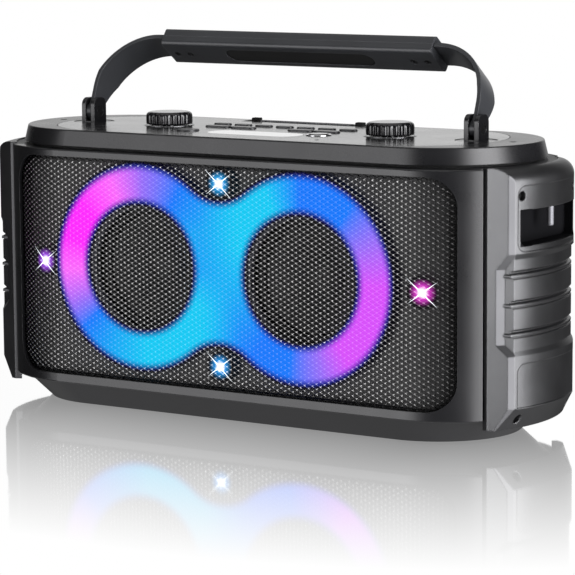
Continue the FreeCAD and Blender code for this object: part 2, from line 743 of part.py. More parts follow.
def panel_cutter(levels, round_low):
    """Shallow inset in the bowed side, with round corners."""
    height = levels[1] - levels[0]
    extra = 0.0 if round_low else PANEL_CORNER_R + 1
    size = (2 * PANEL_Y, height + extra)
    middle = (levels[0] + levels[1] - extra) / 2
    block = rounded_bar(size, PANEL_CORNER_R, CHEEK_BOX_X, "x", (0.0, middle))
    block = block.common(box(CHEEK_BOX_X, CHEEK_BOX_Y, levels))
    bow = (0.0, PANEL_DEPTH)
    return side_layer(bow, bow, levels).common(block)


def grip_section(x1, z):
    """Plan of what the grip takes off the cheek's front: outside a bevel and a narrow shelf."""
    corner = vec(x1, FLAT_START[1] + FLAT_SLOPE * (x1 - FLAT_START[0]), z)
    bevel = vec(math.cos(math.radians(BEVEL_ANGLE)), math.sin(math.radians(BEVEL_ANGLE)))
    shelf = corner + bevel * GRIP_SHELF
    far_x, far_y = CHEEK_BOX_X[1], CHEEK_BOX_Y[0]
    shelf_end = vec(far_x, shelf.y + FLAT_SLOPE * (far_x - shelf.x), z)
    points = [corner, shelf, shelf_end, vec(far_x, far_y, z), vec(x1, far_y, z), corner]
    return Part.makePolygon(points)


def grip_recess():
    """Cutters for the grip: the bevelled front recess, the side step and the notches over the ribs."""
    low, grip_low, grip_high, high = GRIP_LEVELS
    edges = ((low, CHEEK_X1), (grip_low, GRIP_X1), (grip_high, GRIP_X1), (high, CHEEK_X1))
    cutters = []
    for (z0, x0), (z1, x1) in zip(edges, edges[1:]):
        cutters.append(Part.makeLoft([grip_section(x0, z0), grip_section(x1, z1)], True, True))
    step_low = low + GRIP_SIDE_STEP
    step_high = high - GRIP_SIDE_STEP
    full = (0.0, 0.0)
    cutters.append(side_layer(full, GRIP_BOW, (low, step_low)))
    cutters.append(side_layer(GRIP_BOW, GRIP_BOW, (step_low, step_high)))
    cutters.append(side_layer(GRIP_BOW, full, (step_high, high)))
    deep = (GRIP_BOW[0], GRIP_BOW[1] + NOTCH_DEPTH)
    fine = (GRIP_BOW[0], GRIP_BOW[1] + RIB_GROOVE[1])
    for z in RIB_Z:
        cutters.append(side_layer(GRIP_BOW, deep, (z - NOTCH_RISE, z)))
        cutters.append(side_layer(deep, GRIP_BOW, (z, z + NOTCH_RISE)))
        groove_top = z - RIB_LOW
        cutters.append(side_layer(fine, fine, (groove_top - RIB_GROOVE[0], groove_top)))
    return cutters


def rib_nose(z):
    """Round end of a rib, standing out over the shelf."""
    levels = (z - RIB_LOW, z - RIB_HIGH)
    radius = SIDE_R - GRIP_BOW[1]
    centre = (SIDE_CENTRE_X, GRIP_BOW[0])
    ring = rod_z(radius, *centre, levels).cut(rod_z(radius - RIB_NOSE_T, *centre, levels))
    nose = ring.common(box(CHEEK_BOX_X, (RIB_NOSE_Y, RIB_NOSE_END_Y), levels))

    def is_front(point, edge):
        top_edge = abs(point.z - levels[1]) < NEAR and point.x > CHEEK_X1
        return point.y < RIB_NOSE_Y + 0.1 or top_edge
    return fillet_where(nose, RIB_NOSE_R, is_front)


def cheek_screw_place(y, z, inset):
    """Point on the bowed side where a cheek screw sits."""
    return vec(SIDE_CENTRE_X + math.sqrt((SIDE_R - inset) ** 2 - y ** 2), y, z)


def cheek():
    """Right-hand side bumper with its grip, ribs, panels and strap pocket."""
    base = (BASE_X1, BASE_INSET)
    full = (CHEEK_X1, 0.0)
    levels = [
        cheek_loft(base, full, (CHEEK_Z0, BEVEL_Z)),
        cheek_prism(CHEEK_X1, 0.0, (BEVEL_Z, CHEEK_Z1)),
    ]
    solid = fuse(levels).common(cheek_envelope())
    room = fuse([cheek_prism(CHEEK_X1, 0.0, POCKET_CUP_Z), body_prism(WALL_R + 1, POCKET_CUP_Z)])
    solid = fuse([solid, pocket_cup(0.0).common(room)])
    solid = solid.cut(grip_recess())
    solid = fuse([solid] + [rib_nose(z) for z in RIB_Z])
    cutters = [panel_cutter(UPPER_PANEL_Z, True), panel_cutter(LOWER_PANEL_Z, False)]
    extra = POCKET_CORNER_R + 1
    size = (POCKET_Y[1] - POCKET_Y[0], POCKET_Z[1] - POCKET_Z[0] + extra)
    middle = (sum(POCKET_Y) / 2, (sum(POCKET_Z) + extra) / 2)
    pocket = rounded_bar(size, POCKET_CORNER_R, (POCKET_X, CHEEK_BOX_X[1]), "x", middle)
    cutters.append(pocket.common(box(CHEEK_BOX_X, CHEEK_BOX_Y, POCKET_Z)))
    for y, z, inset in CHEEK_SCREWS:
        place = cheek_screw_place(y, z, inset)
        reach = (place.x - CHEEK_SCREW_SEAT[0], place.x + CHEEK_SCREW_SEAT[0])
        cutters.append(rod_x(CHEEK_SCREW_R, reach, y, z))
    return solid.cut(cutters)


def cheek_screws():
    """Screw heads at the bottom of their deep holes in the cheeks."""
    heads = []
    for y, z, inset in CHEEK_SCREWS:
        place = cheek_screw_place(y, z, inset)
        low, high = place.x - CHEEK_SCREW_SEAT[0], place.x - CHEEK_SCREW_SEAT[1]
        head = rod_x(CHEEK_SCREW_R - TRAVEL_GAP, (low, high), y, z)
        width, length, depth = CHEEK_SLOT
        slot = box((high - depth, place.x), (y - width / 2, y + width / 2), (z - length / 2, z + length / 2))
        cross = slot.copy().rotate(vec(0, y, z), X_AXIS, 90)
        heads.append(head.cut([slot, cross]))
    right = Part.makeCompound(heads)
    return Part.makeCompound(heads + mirrored(right).Solids)


def strap_pegs():
    """Steel peg that hangs in each pocket, for the ring of a shoulder strap."""
    top = POCKET_Z[1]
    peg = rod_z(PEG_R, PEG_X, 0.0, (top - PEG_LENGTH, top))
    peg = fillet_where(peg, PEG_END_R, lambda point, edge: abs(point.z - top + PEG_LENGTH) < NEAR)
    return both_ends(peg)


# ---------------------------------------------------------------- top deck
def deck_gasket():
    """Dark spacer that leaves a shadow line under the deck."""
    z = (BODY_Z1, DECK_Z0)
    return stadium_prism(GASKET, z).cut(stadium_prism(GASKET_IN, z))


def top_bezel():
    """Raised surround of the control plate, with sloped sides."""
    z = (DECK_Z0, DECK_Z1)
    solid = stadium_frustum(DECK_BOTTOM, DECK_TOP, z)
    solid = fillet_where(solid, DECK_EDGE_R, lambda point, edge: abs(point.z - DECK_Z1) < NEAR)
    seat = (PLATE[0] + PLATE_GROOVE, PLATE[1] + PLATE_GROOVE)
    seat_cut = stadium_prism(seat, (DECK_Z1 - PLATE_T, DECK_Z1 + 1))
    void = stadium_prism(DECK_VOID, (DECK_Z0 - 1, DECK_Z1 - PLATE_T + 1))
    holes = [rod_z(DECK_HOLE[0], side * DECK_HOLE[1], 0.0, (DECK_Z1 - 5, DECK_Z1 + 1)) for side in (-1, 1)]
    return solid.cut([seat_cut, void] + holes)


def key_shape(kind, grow):
    """Outline of a key or its hole: kind is (x, y, half length, half width)."""
    x, y, half_length, half_width = kind
    return (half_length + grow, half_width + grow), (x, y)


def key_prism(kind, grow, z):
    """Prism of a key; round keys have equal half sizes."""
    size, centre = key_shape(kind, grow)
    if abs(size[0] - size[1]) < TINY:
        return rod_z(size[0], centre[0], centre[1], z)
    return stadium_prism(size, z, centre)


BUTTONS = [(BUTTON_X0 + BUTTON_PITCH * i, BUTTON_Y, BUTTON_SIZE[0] / 2, BUTTON_SIZE[1] / 2)
           for i in range(BUTTON_COUNT)]
WIDE_KEYS = [(x, KEY_Y, KEY_SIZE[0] / 2, KEY_SIZE[1] / 2) for x in KEY_CENTRES]
ROUND_KEYS = {
    "round_key": (ROUND_KEY[0], ROUND_KEY[1], ROUND_KEY[2], ROUND_KEY[2]),
    "power_button": (POWER_BUTTON[0], POWER_BUTTON[1], POWER_BUTTON[2], POWER_BUTTON[2]),
}
PLATE_Z = (DECK_Z1 - PLATE_T, DECK_Z1)
THROUGH = (DECK_Z1 - PLATE_T - 1, DECK_Z1 + 1)
KEY_SKIRT = 4.2             # depth of a key below the deck
SWITCH_TOP = DECK_Z1 - KEY_SKIRT - KEY_TRAVEL - TACT_GAP


def control_plate():
    """Glossy plate of the deck, with holes for every control."""
    plate = stadium_prism(PLATE, PLATE_Z)
    cutters = [key_prism(kind, TRAVEL_GAP, THROUGH) for kind in BUTTONS + WIDE_KEYS]
    cutters.append(key_prism(ROUND_KEYS["round_key"], TRAVEL_GAP, THROUGH))
    ring_r = POWER_BUTTON[2] + TRAVEL_GAP + POWER_RING_T + GAP
    cutters.append(rod_z(ring_r, POWER_BUTTON[0], POWER_BUTTON[1], THROUGH))
    x, y, length, depth = DISPLAY
    cutters.append(rounded_bar((length, depth), DISPLAY_CORNER_R,
                               (DECK_Z1 - DISPLAY_T - GAP, DECK_Z1 + 1), "z", (x, y)))
    opening = (length - 2 * DISPLAY_LEDGE, depth - 2 * DISPLAY_LEDGE)
    cutters.append(rounded_bar(opening, DISPLAY_CORNER_R - DISPLAY_LEDGE, THROUGH, "z", (x, y)))
    cutters.append(box((SLOT_X[0] - SLOT_WALL - GAP, SLOT_X[1] + SLOT_WALL + GAP),
                       (SLOT_Y[0] - SLOT_WALL - GAP, SLOT_LEDGE_Y + SLOT_WALL + GAP), THROUGH))
    for side in (-1, 1):
        cutters.append(rod_z(POT_BUSH_R + GAP, side * KNOB_X, 0.0, THROUGH))
        cutters.append(rod_z(CLEVIS_RECESS_R, side * PIVOT_X, 0.0,
                             (DECK_Z1 - CLEVIS_RECESS, DECK_Z1 + 1)))
        cutters.append(rod_z(PIN_R + 2.1, side * PIVOT_X, 0.0, THROUGH))
    return plate.cut(cutters)


def key_cap(kind, proud=KEY_PROUD):
    """Push key with a soft upper edge and a stem down to its switch."""
    z = (DECK_Z1 - KEY_SKIRT, DECK_Z1 + proud)
    cap = key_prism(kind, 0.0, z)
    return fillet_where(cap, KEY_EDGE_R, lambda point, edge: abs(point.z - z[1]) < NEAR)


def power_ring():
    """Bright trim ring round the power button."""
    x, y, radius = POWER_BUTTON
    inner = radius + TRAVEL_GAP
    z = (DECK_Z1 - PLATE_T, DECK_Z1 + RING_RISE[0])
    ring = rod_z(inner + POWER_RING_T, x, y, z).cut(rod_z(inner, x, y, z))
    return fillet_where(ring, RING_RISE[1], lambda point, edge: abs(point.z - z[1]) < NEAR)


def display_window():
    """Clear cover of the display, flush with the deck."""
    x, y, length, depth = DISPLAY
    z = (DECK_Z1 - DISPLAY_T, DECK_Z1)
    return rounded_bar((length - 2 * GAP, depth - 2 * GAP), DISPLAY_CORNER_R - GAP, z, "z", (x, y))


def display_module():
    """Display panel under its cover."""
    x, y, length, depth = DISPLAY
    z = (DECK_Z1 - PLATE_T - MODULE[0], DECK_Z1 - DISPLAY_T - 2 * GAP)
    size = (length - 2 * MODULE[1], depth - 2 * MODULE[1])
    return rounded_bar(size, DISPLAY_CORNER_R - MODULE[2], z, "z", (x, y))


BOARD_TOP = SWITCH_TOP - 1.4


def key_board():
    """Circuit board under the keys."""
    board = box(KEY_BOARD[0], KEY_BOARD[1], (BOARD_TOP - KEY_BOARD[2], BOARD_TOP))
    return board


def tact_switches():
    """Switch under each key, with a little free travel above it."""
    switches = []
    half, height, plunger_r = SWITCH
    for x, y, half_length, half_width in BUTTONS + WIDE_KEYS + list(ROUND_KEYS.values()):
        body = box((x - half, x + half), (y - half, y + half), (BOARD_TOP, BOARD_TOP + height))
        plunger = rod_z(plunger_r, x, y, (BOARD_TOP + height, SWITCH_TOP))
        switches.append(fuse([body, plunger]))
    return Part.makeCompound(switches)


def tablet_tray():
    """Open channel along the back of the deck that a tablet stands in."""
    x = (SLOT_X[0] - SLOT_WALL, SLOT_X[1] + SLOT_WALL)
    y = (SLOT_Y[0] - SLOT_WALL, SLOT_LEDGE_Y + SLOT_WALL)
    tray = box(x, y, (SLOT_Z0 - SLOT_WALL, DECK_Z1 - 0.4))
    channel = box(SLOT_X, SLOT_Y, (SLOT_Z0, DECK_Z1 + 1))
    return tray.cut(channel)


def slot_stops():
    """Two blocks behind the channel that a tablet leans on."""
    width, depth, height = STOP_SIZE
    y = (SLOT_Y[1] + 0.6, SLOT_Y[1] + 0.6 + depth)
    z = (DECK_Z1 - 0.4, DECK_Z1 + height)
    stops = []
    for x in (SLOT_X[0] + STOP_INSET, SLOT_X[1] - STOP_INSET - width):
        block = box((x, x + width), y, z)
        stops.append(fillet_where(block, 0.5, lambda point, edge: abs(point.z - z[1]) < NEAR))
    return Part.makeCompound(stops)


# ---------------------------------------------------------------- knobs
def knob(side):
    """Fluted knob with its shaft."""
    x = side * KNOB_X
    body = rod_z(KNOB_R, x, 0.0, (KNOB_Z0, KNOB_Z1))
    body = fillet_where(body, KNOB_EDGE_R, lambda point, edge: abs(point.z - KNOB_Z1) < NEAR)
    flutes = []
    for index in range(KNOB_FLUTES):
        angle = 2 * math.pi * index / KNOB_FLUTES
        flutes.append(rod_z(KNOB_FLUTE_R, x + (KNOB_R + 0.35) * math.cos(angle),
                            (KNOB_R + 0.35) * math.sin(angle), (KNOB_Z0 - 1, KNOB_Z1 + 1)))
    hollow = rod_z(POT_BUSH_R + 1.4, x, 0.0, (KNOB_Z0 - 1, KNOB_Z0 + 2.4))
    shaft = rod_z(KNOB_SHAFT_R, x, 0.0, (DECK_Z1 - 12.0, KNOB_Z1 - 3))
    return fuse([body.cut(flutes + [hollow]), shaft])


def knob_pots():
    """Rotary control under each knob, with the bush that its shaft turns in."""
    z_low = DECK_Z1 - 14.0
    z_high = DECK_Z1 - PLATE_T
    can = box((KNOB_X - 8, KNOB_X + 8), (-8, 8), (z_low, z_high))
    bush = rod_z(POT_BUSH_R, KNOB_X, 0.0, (z_high, KNOB_Z0 + 1.0))
    bore = rod_z(KNOB_SHAFT_R + 0.05, KNOB_X, 0.0, (DECK_Z1 - 12.5, KNOB_Z0 + 2))
    return both_ends(fuse([can, bush]).cut(bore))


# ---------------------------------------------------------------- handle
def clevis():
    """Forked post that the right-hand arm turns in."""
    floor = DECK_Z1 - CLEVIS_RECESS
    base = rod_z(CLEVIS_BASE_R, PIVOT_X, 0.0, (floor, DECK_Z1 - 0.3))
    stem = rod_z(PIN_R + 2.0, PIVOT_X, 0.0, (DECK_Z1 - PLATE_T - 4, floor))
    x = (PIVOT_X - CLEVIS_W / 2, PIVOT_X + CLEVIS_W / 2)
    top = PIVOT_Z + CLEVIS_TOP
    post = box(x, (-CLEVIS_HALF_D, CLEVIS_HALF_D), (floor, top))

    def is_shoulder(point, edge):
        return abs(point.z - top) < NEAR and abs(abs(point.y) - CLEVIS_HALF_D) < NEAR
    post = fillet_where(post, CLEVIS_CORNER_R, is_shoulder)
    slot = box((PIVOT_X - EAR_GAP / 2, PIVOT_X + EAR_GAP / 2), (-20, 20),
               (PIVOT_Z - TONGUE_R - 0.4, top + 1))
    hole = rod_x(PIN_R, (x[0] - 1, x[1] + 1), 0.0, PIVOT_Z)
    head = rod_x(PIN_HEAD_R, (x[1] - PIN_HEAD_T, x[1] + 1), 0.0, PIVOT_Z)
    return fuse([base, stem, post]).cut([slot, hole, head])


def pivot_pins():
    """Screw through the ears of each post; both heads face the same way."""
    right = PIVOT_X + CLEVIS_W / 2
    pins = []
    for centre in (-PIVOT_X, PIVOT_X):
        x_low = centre - CLEVIS_W / 2
        x_high = centre + CLEVIS_W / 2
        shank = rod_x(PIN_R, (x_low + 0.3, x_high - PIN_HEAD_T), 0.0, PIVOT_Z)
        head = rod_x(PIN_HEAD_R - GAP, (x_high - PIN_HEAD_T, x_high - 0.1), 0.0, PIVOT_Z)
        slot = box((x_high - 0.6, x_high + 1), (-PIN_HEAD_R, PIN_HEAD_R), (PIVOT_Z - 0.45, PIVOT_Z + 0.45))
        slot = slot.rotate(vec(0, 0, PIVOT_Z), X_AXIS, 35)
        pins.append(fuse([shank, head]).cut(slot))
    return Part.makeCompound(pins)


def clevis_left():
    """Post at the other end, moved rather than mirrored so that its screw head faces the same way."""
    return clevis().translate(vec(-2 * PIVOT_X, 0, 0))


def handle_arm():
    """Right-hand arm: tongue at the pivot, band that widens, bends over and enters the grip."""
    bend_z = PIVOT_Z + ARM_RISE - ARM_BEND_R
    bend_x = PIVOT_X - ARM_BEND_R
    outer = ARM_BEND_R + ARM_T / 2
    inner = ARM_BEND_R - ARM_T / 2
    diagonal = math.sqrt(0.5)
    top = PIVOT_Z + ARM_RISE
    inside = GRIP_HALF_X - GRIP_SOCKET + 1.0

    def point(x, z):
        return vec(x, -ARM_HALF_W, z)
    edges = [
        line(point(bend_x + outer, PIVOT_Z), point(bend_x + outer, bend_z)),
        arc(point(bend_x + outer, bend_z), point(bend_x + outer * diagonal, bend_z + outer * diagonal),
            point(bend_x, top + ARM_T / 2)),
        line(point(bend_x, top + ARM_T / 2), point(inside, top + ARM_T / 2)),
        line(point(inside, top + ARM_T / 2), point(inside, top - ARM_T / 2)),
        line(point(inside, top - ARM_T / 2), point(bend_x, top - ARM_T / 2)),
        arc(point(bend_x, top - ARM_T / 2), point(bend_x + inner * diagonal, bend_z + inner * diagonal),
            point(bend_x + inner, bend_z)),
        line(point(bend_x + inner, bend_z), point(bend_x + inner, PIVOT_Z)),
        line(point(bend_x + inner, PIVOT_Z), point(bend_x + outer, PIVOT_Z)),
    ]
    band = Part.Face(Part.Wire(edges)).extrude(vec(0, 2 * ARM_HALF_W, 0))
    taper_z = PIVOT_Z + ARM_TAPER_END
    cutters = []
    for side in (-1, 1):
        corners = [
            vec(120, side * ARM_HALF_W_PIVOT, PIVOT_Z - 1), vec(120, side * (ARM_HALF_W + 1), PIVOT_Z - 1),
            vec(120, side * (ARM_HALF_W + 1), taper_z), vec(120, side * ARM_HALF_W, taper_z),
            vec(120, side * ARM_HALF_W_PIVOT, PIVOT_Z + 6),
        ]
        wedge = Part.Face(Part.makePolygon(corners + corners[:1])).extrude(vec(40, 0, 0))
        cutters.append(wedge)
    band = band.cut(cutters)
    tongue = rod_x(TONGUE_R, (PIVOT_X - TONGUE_T / 2, PIVOT_X + TONGUE_T / 2), 0.0, PIVOT_Z)
    bore = rod_x(PIN_R + 0.05, (PIVOT_X - 5, PIVOT_X + 5), 0.0, PIVOT_Z)
    return fuse([band, tongue]).cut(bore)


GRIP_MID = PIVOT_Z + ARM_RISE
GRIP_Z = (GRIP_MID - GRIP_T / 2, GRIP_MID + GRIP_T / 2)


def grip_blank():
    """Full bar of the grip with soft long edges."""
    bar = box((-GRIP_HALF_X, GRIP_HALF_X), (-GRIP_HALF_W, GRIP_HALF_W), GRIP_Z)
    return fillet_where(bar, GRIP_EDGE_R, lambda point, edge: abs(point.x) < NEAR)


def grip_sockets():
    """Spaces in the ends of the grip for the arms."""
    half_t = ARM_T / 2 + GAP
    space = box((GRIP_HALF_X - GRIP_SOCKET, GRIP_HALF_X + 1),
                (-ARM_HALF_W - GAP, ARM_HALF_W + GAP), (GRIP_MID - half_t, GRIP_MID + half_t))
    return [space, mirrored(space)]


def grip_screw_places():
    """The four screws in the underside of the grip."""
    return [(side * x, 0.0) for side in (-1, 1) for x in GRIP_SCREW_X]


def grip_lower():
    """Underside of the grip, with the seat of its soft pad."""
    half = grip_blank().common(box((-SPAN, SPAN), (-SPAN, SPAN), (0, GRIP_MID)))
    seat = stadium_prism((GRIP_PAD[0] / 2 + 0.3, GRIP_PAD[1] / 2 + 0.3),
                         (GRIP_Z[0] - 1, GRIP_Z[0] + GRIP_PAD_T + 0.4))
    holes = [rod_z(GRIP_SCREW_R + GAP, x, y, (GRIP_Z[0] - 1, GRIP_Z[0] + 1.4))
             for x, y in grip_screw_places()]
    return half.cut(grip_sockets() + [seat] + holes)


def grip_upper():
    """Top of the grip."""
    half = grip_blank().cut(box((-SPAN, SPAN), (-SPAN, SPAN), (0, GRIP_MID)))
    return half.cut(grip_sockets())


def grip_pad():
    """Soft pad let into the underside of the grip."""
    pad = stadium_prism((GRIP_PAD[0] / 2, GRIP_PAD[1] / 2),
                        (GRIP_Z[0] + 0.4, GRIP_Z[0] + 0.4 + GRIP_PAD_T))
    return pad


def grip_screws():
    """Screw heads in the underside of the grip."""
    heads = []
    for x, y in grip_screw_places():
        head = rod_z(GRIP_SCREW_R, x, y, (GRIP_Z[0] + 0.2, GRIP_Z[0] + 1.4))
        slot = box((x - 1.5, x + 1.5), (y - 0.35, y + 0.35), (GRIP_Z[0], GRIP_Z[0] + 0.8))
        cross = slot.copy().rotate(vec(x, y, 0), Z_AXIS, 90)
        heads.append(head.cut([slot, cross]))
    return Part.makeCompound(heads)


# ---------------------------------------------------------------- base
def base_plinth():
    """Dark plinth under the cabinet, narrower than the body."""
    z = (PLINTH_Z0, BODY_Z0)
    outer = stadium_frustum(PLINTH_BOTTOM, PLINTH_TOP, z)
    low = tuple(value - WALL for value in PLINTH_BOTTOM)
    high = tuple(value - WALL for value in PLINTH_TOP)
    inner = stadium_frustum(low, high, (PLINTH_Z0 + WALL, BODY_Z0 + 1))
    return outer.cut(inner)


def rubber_feet():
    """Four flat rubber feet."""
    feet = []
    for x in (-FOOT_X, FOOT_X):
        for y in (-FOOT_Y, FOOT_Y):
            feet.append(rod_z(FOOT_R, x, y, (0.0, PLINTH_Z0)))
    return Part.makeCompound(feet)


# ---------------------------------------------------------------- inside and back
def battery_pack():
    """Rechargeable pack on the cabinet floor."""
    z0 = BODY_Z0 + WALL
    size, radius, height, y = BATTERY
    return rounded_bar(size, radius, (z0, z0 + height), "z", (0.0, y))


def amplifier_board():
    """Main circuit board with its heat sink."""
    board = box(AMP_BOARD[0], (BOARD_Y - AMP_BOARD[2], BOARD_Y), AMP_BOARD[1])
    sink_y = BOARD_Y - AMP_BOARD[2] - HEAT_SINK[2]
    sink = box(HEAT_SINK[0], (sink_y, BOARD_Y - AMP_BOARD[2]), HEAT_SINK[1])
    count, first, pitch, width, depth = SINK_FINS
    z = (HEAT_SINK[1][0] - 1, HEAT_SINK[1][1] + 1)
    fins = [box((first + pitch * i, first + pitch * i + width), (sink_y - 1, sink_y - 1 + depth), z)
            for i in range(count)]
    return fuse([board, sink.cut(fins)])


def jack_panel():
    """Recessed plate of the sockets at the back."""
    x, z, length, height = JACK_PANEL
    outer = rounded_bar((length - 2 * GAP, height - 2 * GAP), JACK_PANEL_R - GAP,
                        (JACK_PANEL_Y - WALL, JACK_PANEL_Y), "y", (x, z))
    cutters = [rod_y(MIC_JACK_R, jack_x, PANEL_CUT_Y, z) for jack_x in MIC_JACK_X]
    cutters.append(rod_y(AUX_JACK_R, AUX_JACK_X, PANEL_CUT_Y, z))
    cutters.append(rod_y(CHARGE_R, CHARGE_X, PANEL_CUT_Y, z))
    cutters.append(box((USB_X - USB_SIZE[0] / 2, USB_X + USB_SIZE[0] / 2), PANEL_CUT_Y,
                       (z - USB_SIZE[1] / 2, z + USB_SIZE[1] / 2)))
    return outer.cut(cutters)


def jack_sockets():
    """The sockets behind the panel: two microphone, one line, one data, one charging."""
    z = JACK_PANEL[1]
    back = JACK_PANEL_Y - WALL
    sockets = []
    for x, radius in [(x, MIC_JACK_R) for x in MIC_JACK_X] + [(AUX_JACK_X, AUX_JACK_R)]:
        half = radius + JACK_BODY_EXTRA
        body = box((x - half, x + half), (BOARD_Y, back), (z - half, z + half))
        sockets.append(body.cut(rod_y(radius, x, (back - JACK_DEPTH, back + 1), z)))
    half_x = USB_SIZE[0] / 2
    half_z = USB_SIZE[1] / 2
    usb = box((USB_X - half_x - 0.8, USB_X + half_x + 0.8), (BOARD_Y, back),
              (z - half_z - 0.8, z + half_z + 0.8))
    usb = usb.cut(box((USB_X - half_x, USB_X + half_x), (back - 12, back + 1), (z - half_z, z + half_z)))
    tongue = box((USB_X - half_x + 1, USB_X + half_x - 1), (back - 12, back - 1), (z + 0.4, z + 2.2))
    sockets.append(fuse([usb, tongue]))
    half = CHARGE_R + 1.6
    charge = box((CHARGE_X - half, CHARGE_X + half), (BOARD_Y, back), (z - half, z + half))
    charge = charge.cut(rod_y(CHARGE_R, CHARGE_X, (back - 10, back + 1), z))
    pin = rod_y(0.9, CHARGE_X, (back - 10, back - 0.5), z)
    sockets.append(fuse([charge, pin]))
    return Part.makeCompound(sockets)


def bass_port():
    """Tuned tube from the back wall into the cabinet."""
    outer = rod_y(PORT_R + PORT_T - GAP, PORT_X, (SKIN_R - PORT_LENGTH, SKIN_R - 0.2), PORT_Z)
    bore = rod_y(PORT_R, PORT_X, (SKIN_R - PORT_LENGTH - 1, SKIN_R + 1), PORT_Z)
    tube = outer.cut(bore)
    return tube


def rear_screws():
    """Cross-head screws, sunk in the back of the cabinet."""
    heads = []
    for x, z in REAR_SCREWS:
        head = rod_y(REAR_SCREW_R - GAP, x, (SKIN_R - REAR_SCREW_SINK, SKIN_R - REAR_SCREW_BELOW), z)
        slot = box((x - REAR_SLOT[0] / 2, x + REAR_SLOT[0] / 2),
                   (SKIN_R - REAR_SCREW_BELOW - REAR_SLOT[2], SKIN_R),
                   (z - REAR_SLOT[1] / 2, z + REAR_SLOT[1] / 2))
        cross = slot.copy().rotate(vec(x, 0, z), Y_AXIS, 90)
        heads.append(head.cut([slot, cross]))
    return Part.makeCompound(heads)


# ---------------------------------------------------------------- write every sub-part
def build_all():
    """Make and export each node."""
    export("rear_cabinet", rear_cabinet())
    export("front_frame", front_frame())
    export("grille", grille())
    export("front_baffle", front_baffle())
    export("light_guide", light_guide())
    export("light_board", light_board())
    export("star_lenses", star_lenses())
    export("woofer_baskets", Part.makeCompound([woofer_basket(s * DRIVER_X) for s in (-1, 1)]))
    export("woofer_magnets", Part.makeCompound([woofer_magnet(s * DRIVER_X) for s in (-1, 1)]))
    export("woofer_suspensions",
           Part.makeCompound(woofer_suspension(-DRIVER_X) + woofer_suspension(DRIVER_X)))
    export("woofer_screws", woofer_screws())
    export("cone_left", cone(-DRIVER_X))
    export("cone_right", cone(DRIVER_X))
    right_cheek = cheek()
    export("cheek_right", right_cheek)
    export("cheek_left", mirrored(right_cheek))
    export("cheek_screws", cheek_screws())
    export("strap_pegs", strap_pegs())
    export("deck_gasket", deck_gasket())
    export("top_bezel", top_bezel())
    export("control_plate", control_plate())
    export("display_window", display_window())
    export("display_module", display_module())
    export("key_board", key_board())
    export("tact_switches", tact_switches())
    for index, kind in enumerate(BUTTONS):
        export("button_" + str(index + 1), key_cap(kind))
    for index, kind in enumerate(WIDE_KEYS):
        export("wide_key_" + str(index + 1), key_cap(kind))
    for node, kind in ROUND_KEYS.items():
        export(node, key_cap(kind))
    export("power_ring", power_ring())
    export("tablet_tray", tablet_tray())
    export("slot_stops", slot_stops())
    export("knob_left", knob(-1))
    export("knob_right", knob(1))
    export("knob_pots", knob_pots())
    export("clevis_left", clevis_left())
    export("clevis_right", clevis())
    export("pivot_pins", pivot_pins())
    right_arm = handle_arm()
    export("handle_arm_right", leant(right_arm.copy()))
    export("handle_arm_left", leant(mirrored(right_arm)))
    export("grip_lower", leant(grip_lower()))
    export("grip_upper", leant(grip_upper()))
    export("grip_pad", leant(grip_pad()))
    export("grip_screws", leant(grip_screws()))
    export("base_plinth", base_plinth())
    export("rubber_feet", rubber_feet())
    export("battery_pack", battery_pack())
    export("amplifier_board", amplifier_board())
    export("jack_panel", jack_panel())
    export("jack_sockets", jack_sockets())
    export("bass_port", bass_port())
    export("rear_screws", rear_screws())


build_all()
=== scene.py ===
"""Looks of the party speaker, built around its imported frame. Lengths are metres, in the row frame."""

import math

import bpy
from mathutils import Matrix, Vector


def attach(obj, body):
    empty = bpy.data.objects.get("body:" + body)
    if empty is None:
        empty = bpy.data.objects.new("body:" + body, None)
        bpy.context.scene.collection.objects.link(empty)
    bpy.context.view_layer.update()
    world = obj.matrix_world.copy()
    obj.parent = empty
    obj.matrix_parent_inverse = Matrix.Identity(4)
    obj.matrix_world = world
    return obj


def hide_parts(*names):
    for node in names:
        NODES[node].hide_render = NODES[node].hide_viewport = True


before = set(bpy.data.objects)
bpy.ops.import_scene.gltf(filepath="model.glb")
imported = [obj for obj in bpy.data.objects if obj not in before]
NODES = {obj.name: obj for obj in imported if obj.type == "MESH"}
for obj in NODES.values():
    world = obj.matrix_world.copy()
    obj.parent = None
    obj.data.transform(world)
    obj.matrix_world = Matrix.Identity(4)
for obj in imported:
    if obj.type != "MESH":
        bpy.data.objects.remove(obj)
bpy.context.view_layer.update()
MM = 0.001


# ---------------------------------------------------------------- camera
CAMERA_FROM = (32.74, 7.64)     # azimuth and elevation in degrees
CAMERA_DISTANCE = 1.7776
CAMERA_TURN = (0.19, 0.69, 0.43)  # yaw, pitch and roll away from the target, in degrees
CAMERA_LENS = 175.2
MIDDLE = Vector((0, 0, 0.1))


def direction(azimuth, elevation):
    """Unit vector; azimuth 0 is in front of the speaker and 90 is at its right-hand end."""
    a, e = math.radians(azimuth), math.radians(elevation)
    return Vector((math.sin(a) * math.cos(e), -math.cos(a) * math.cos(e), math.sin(e)))


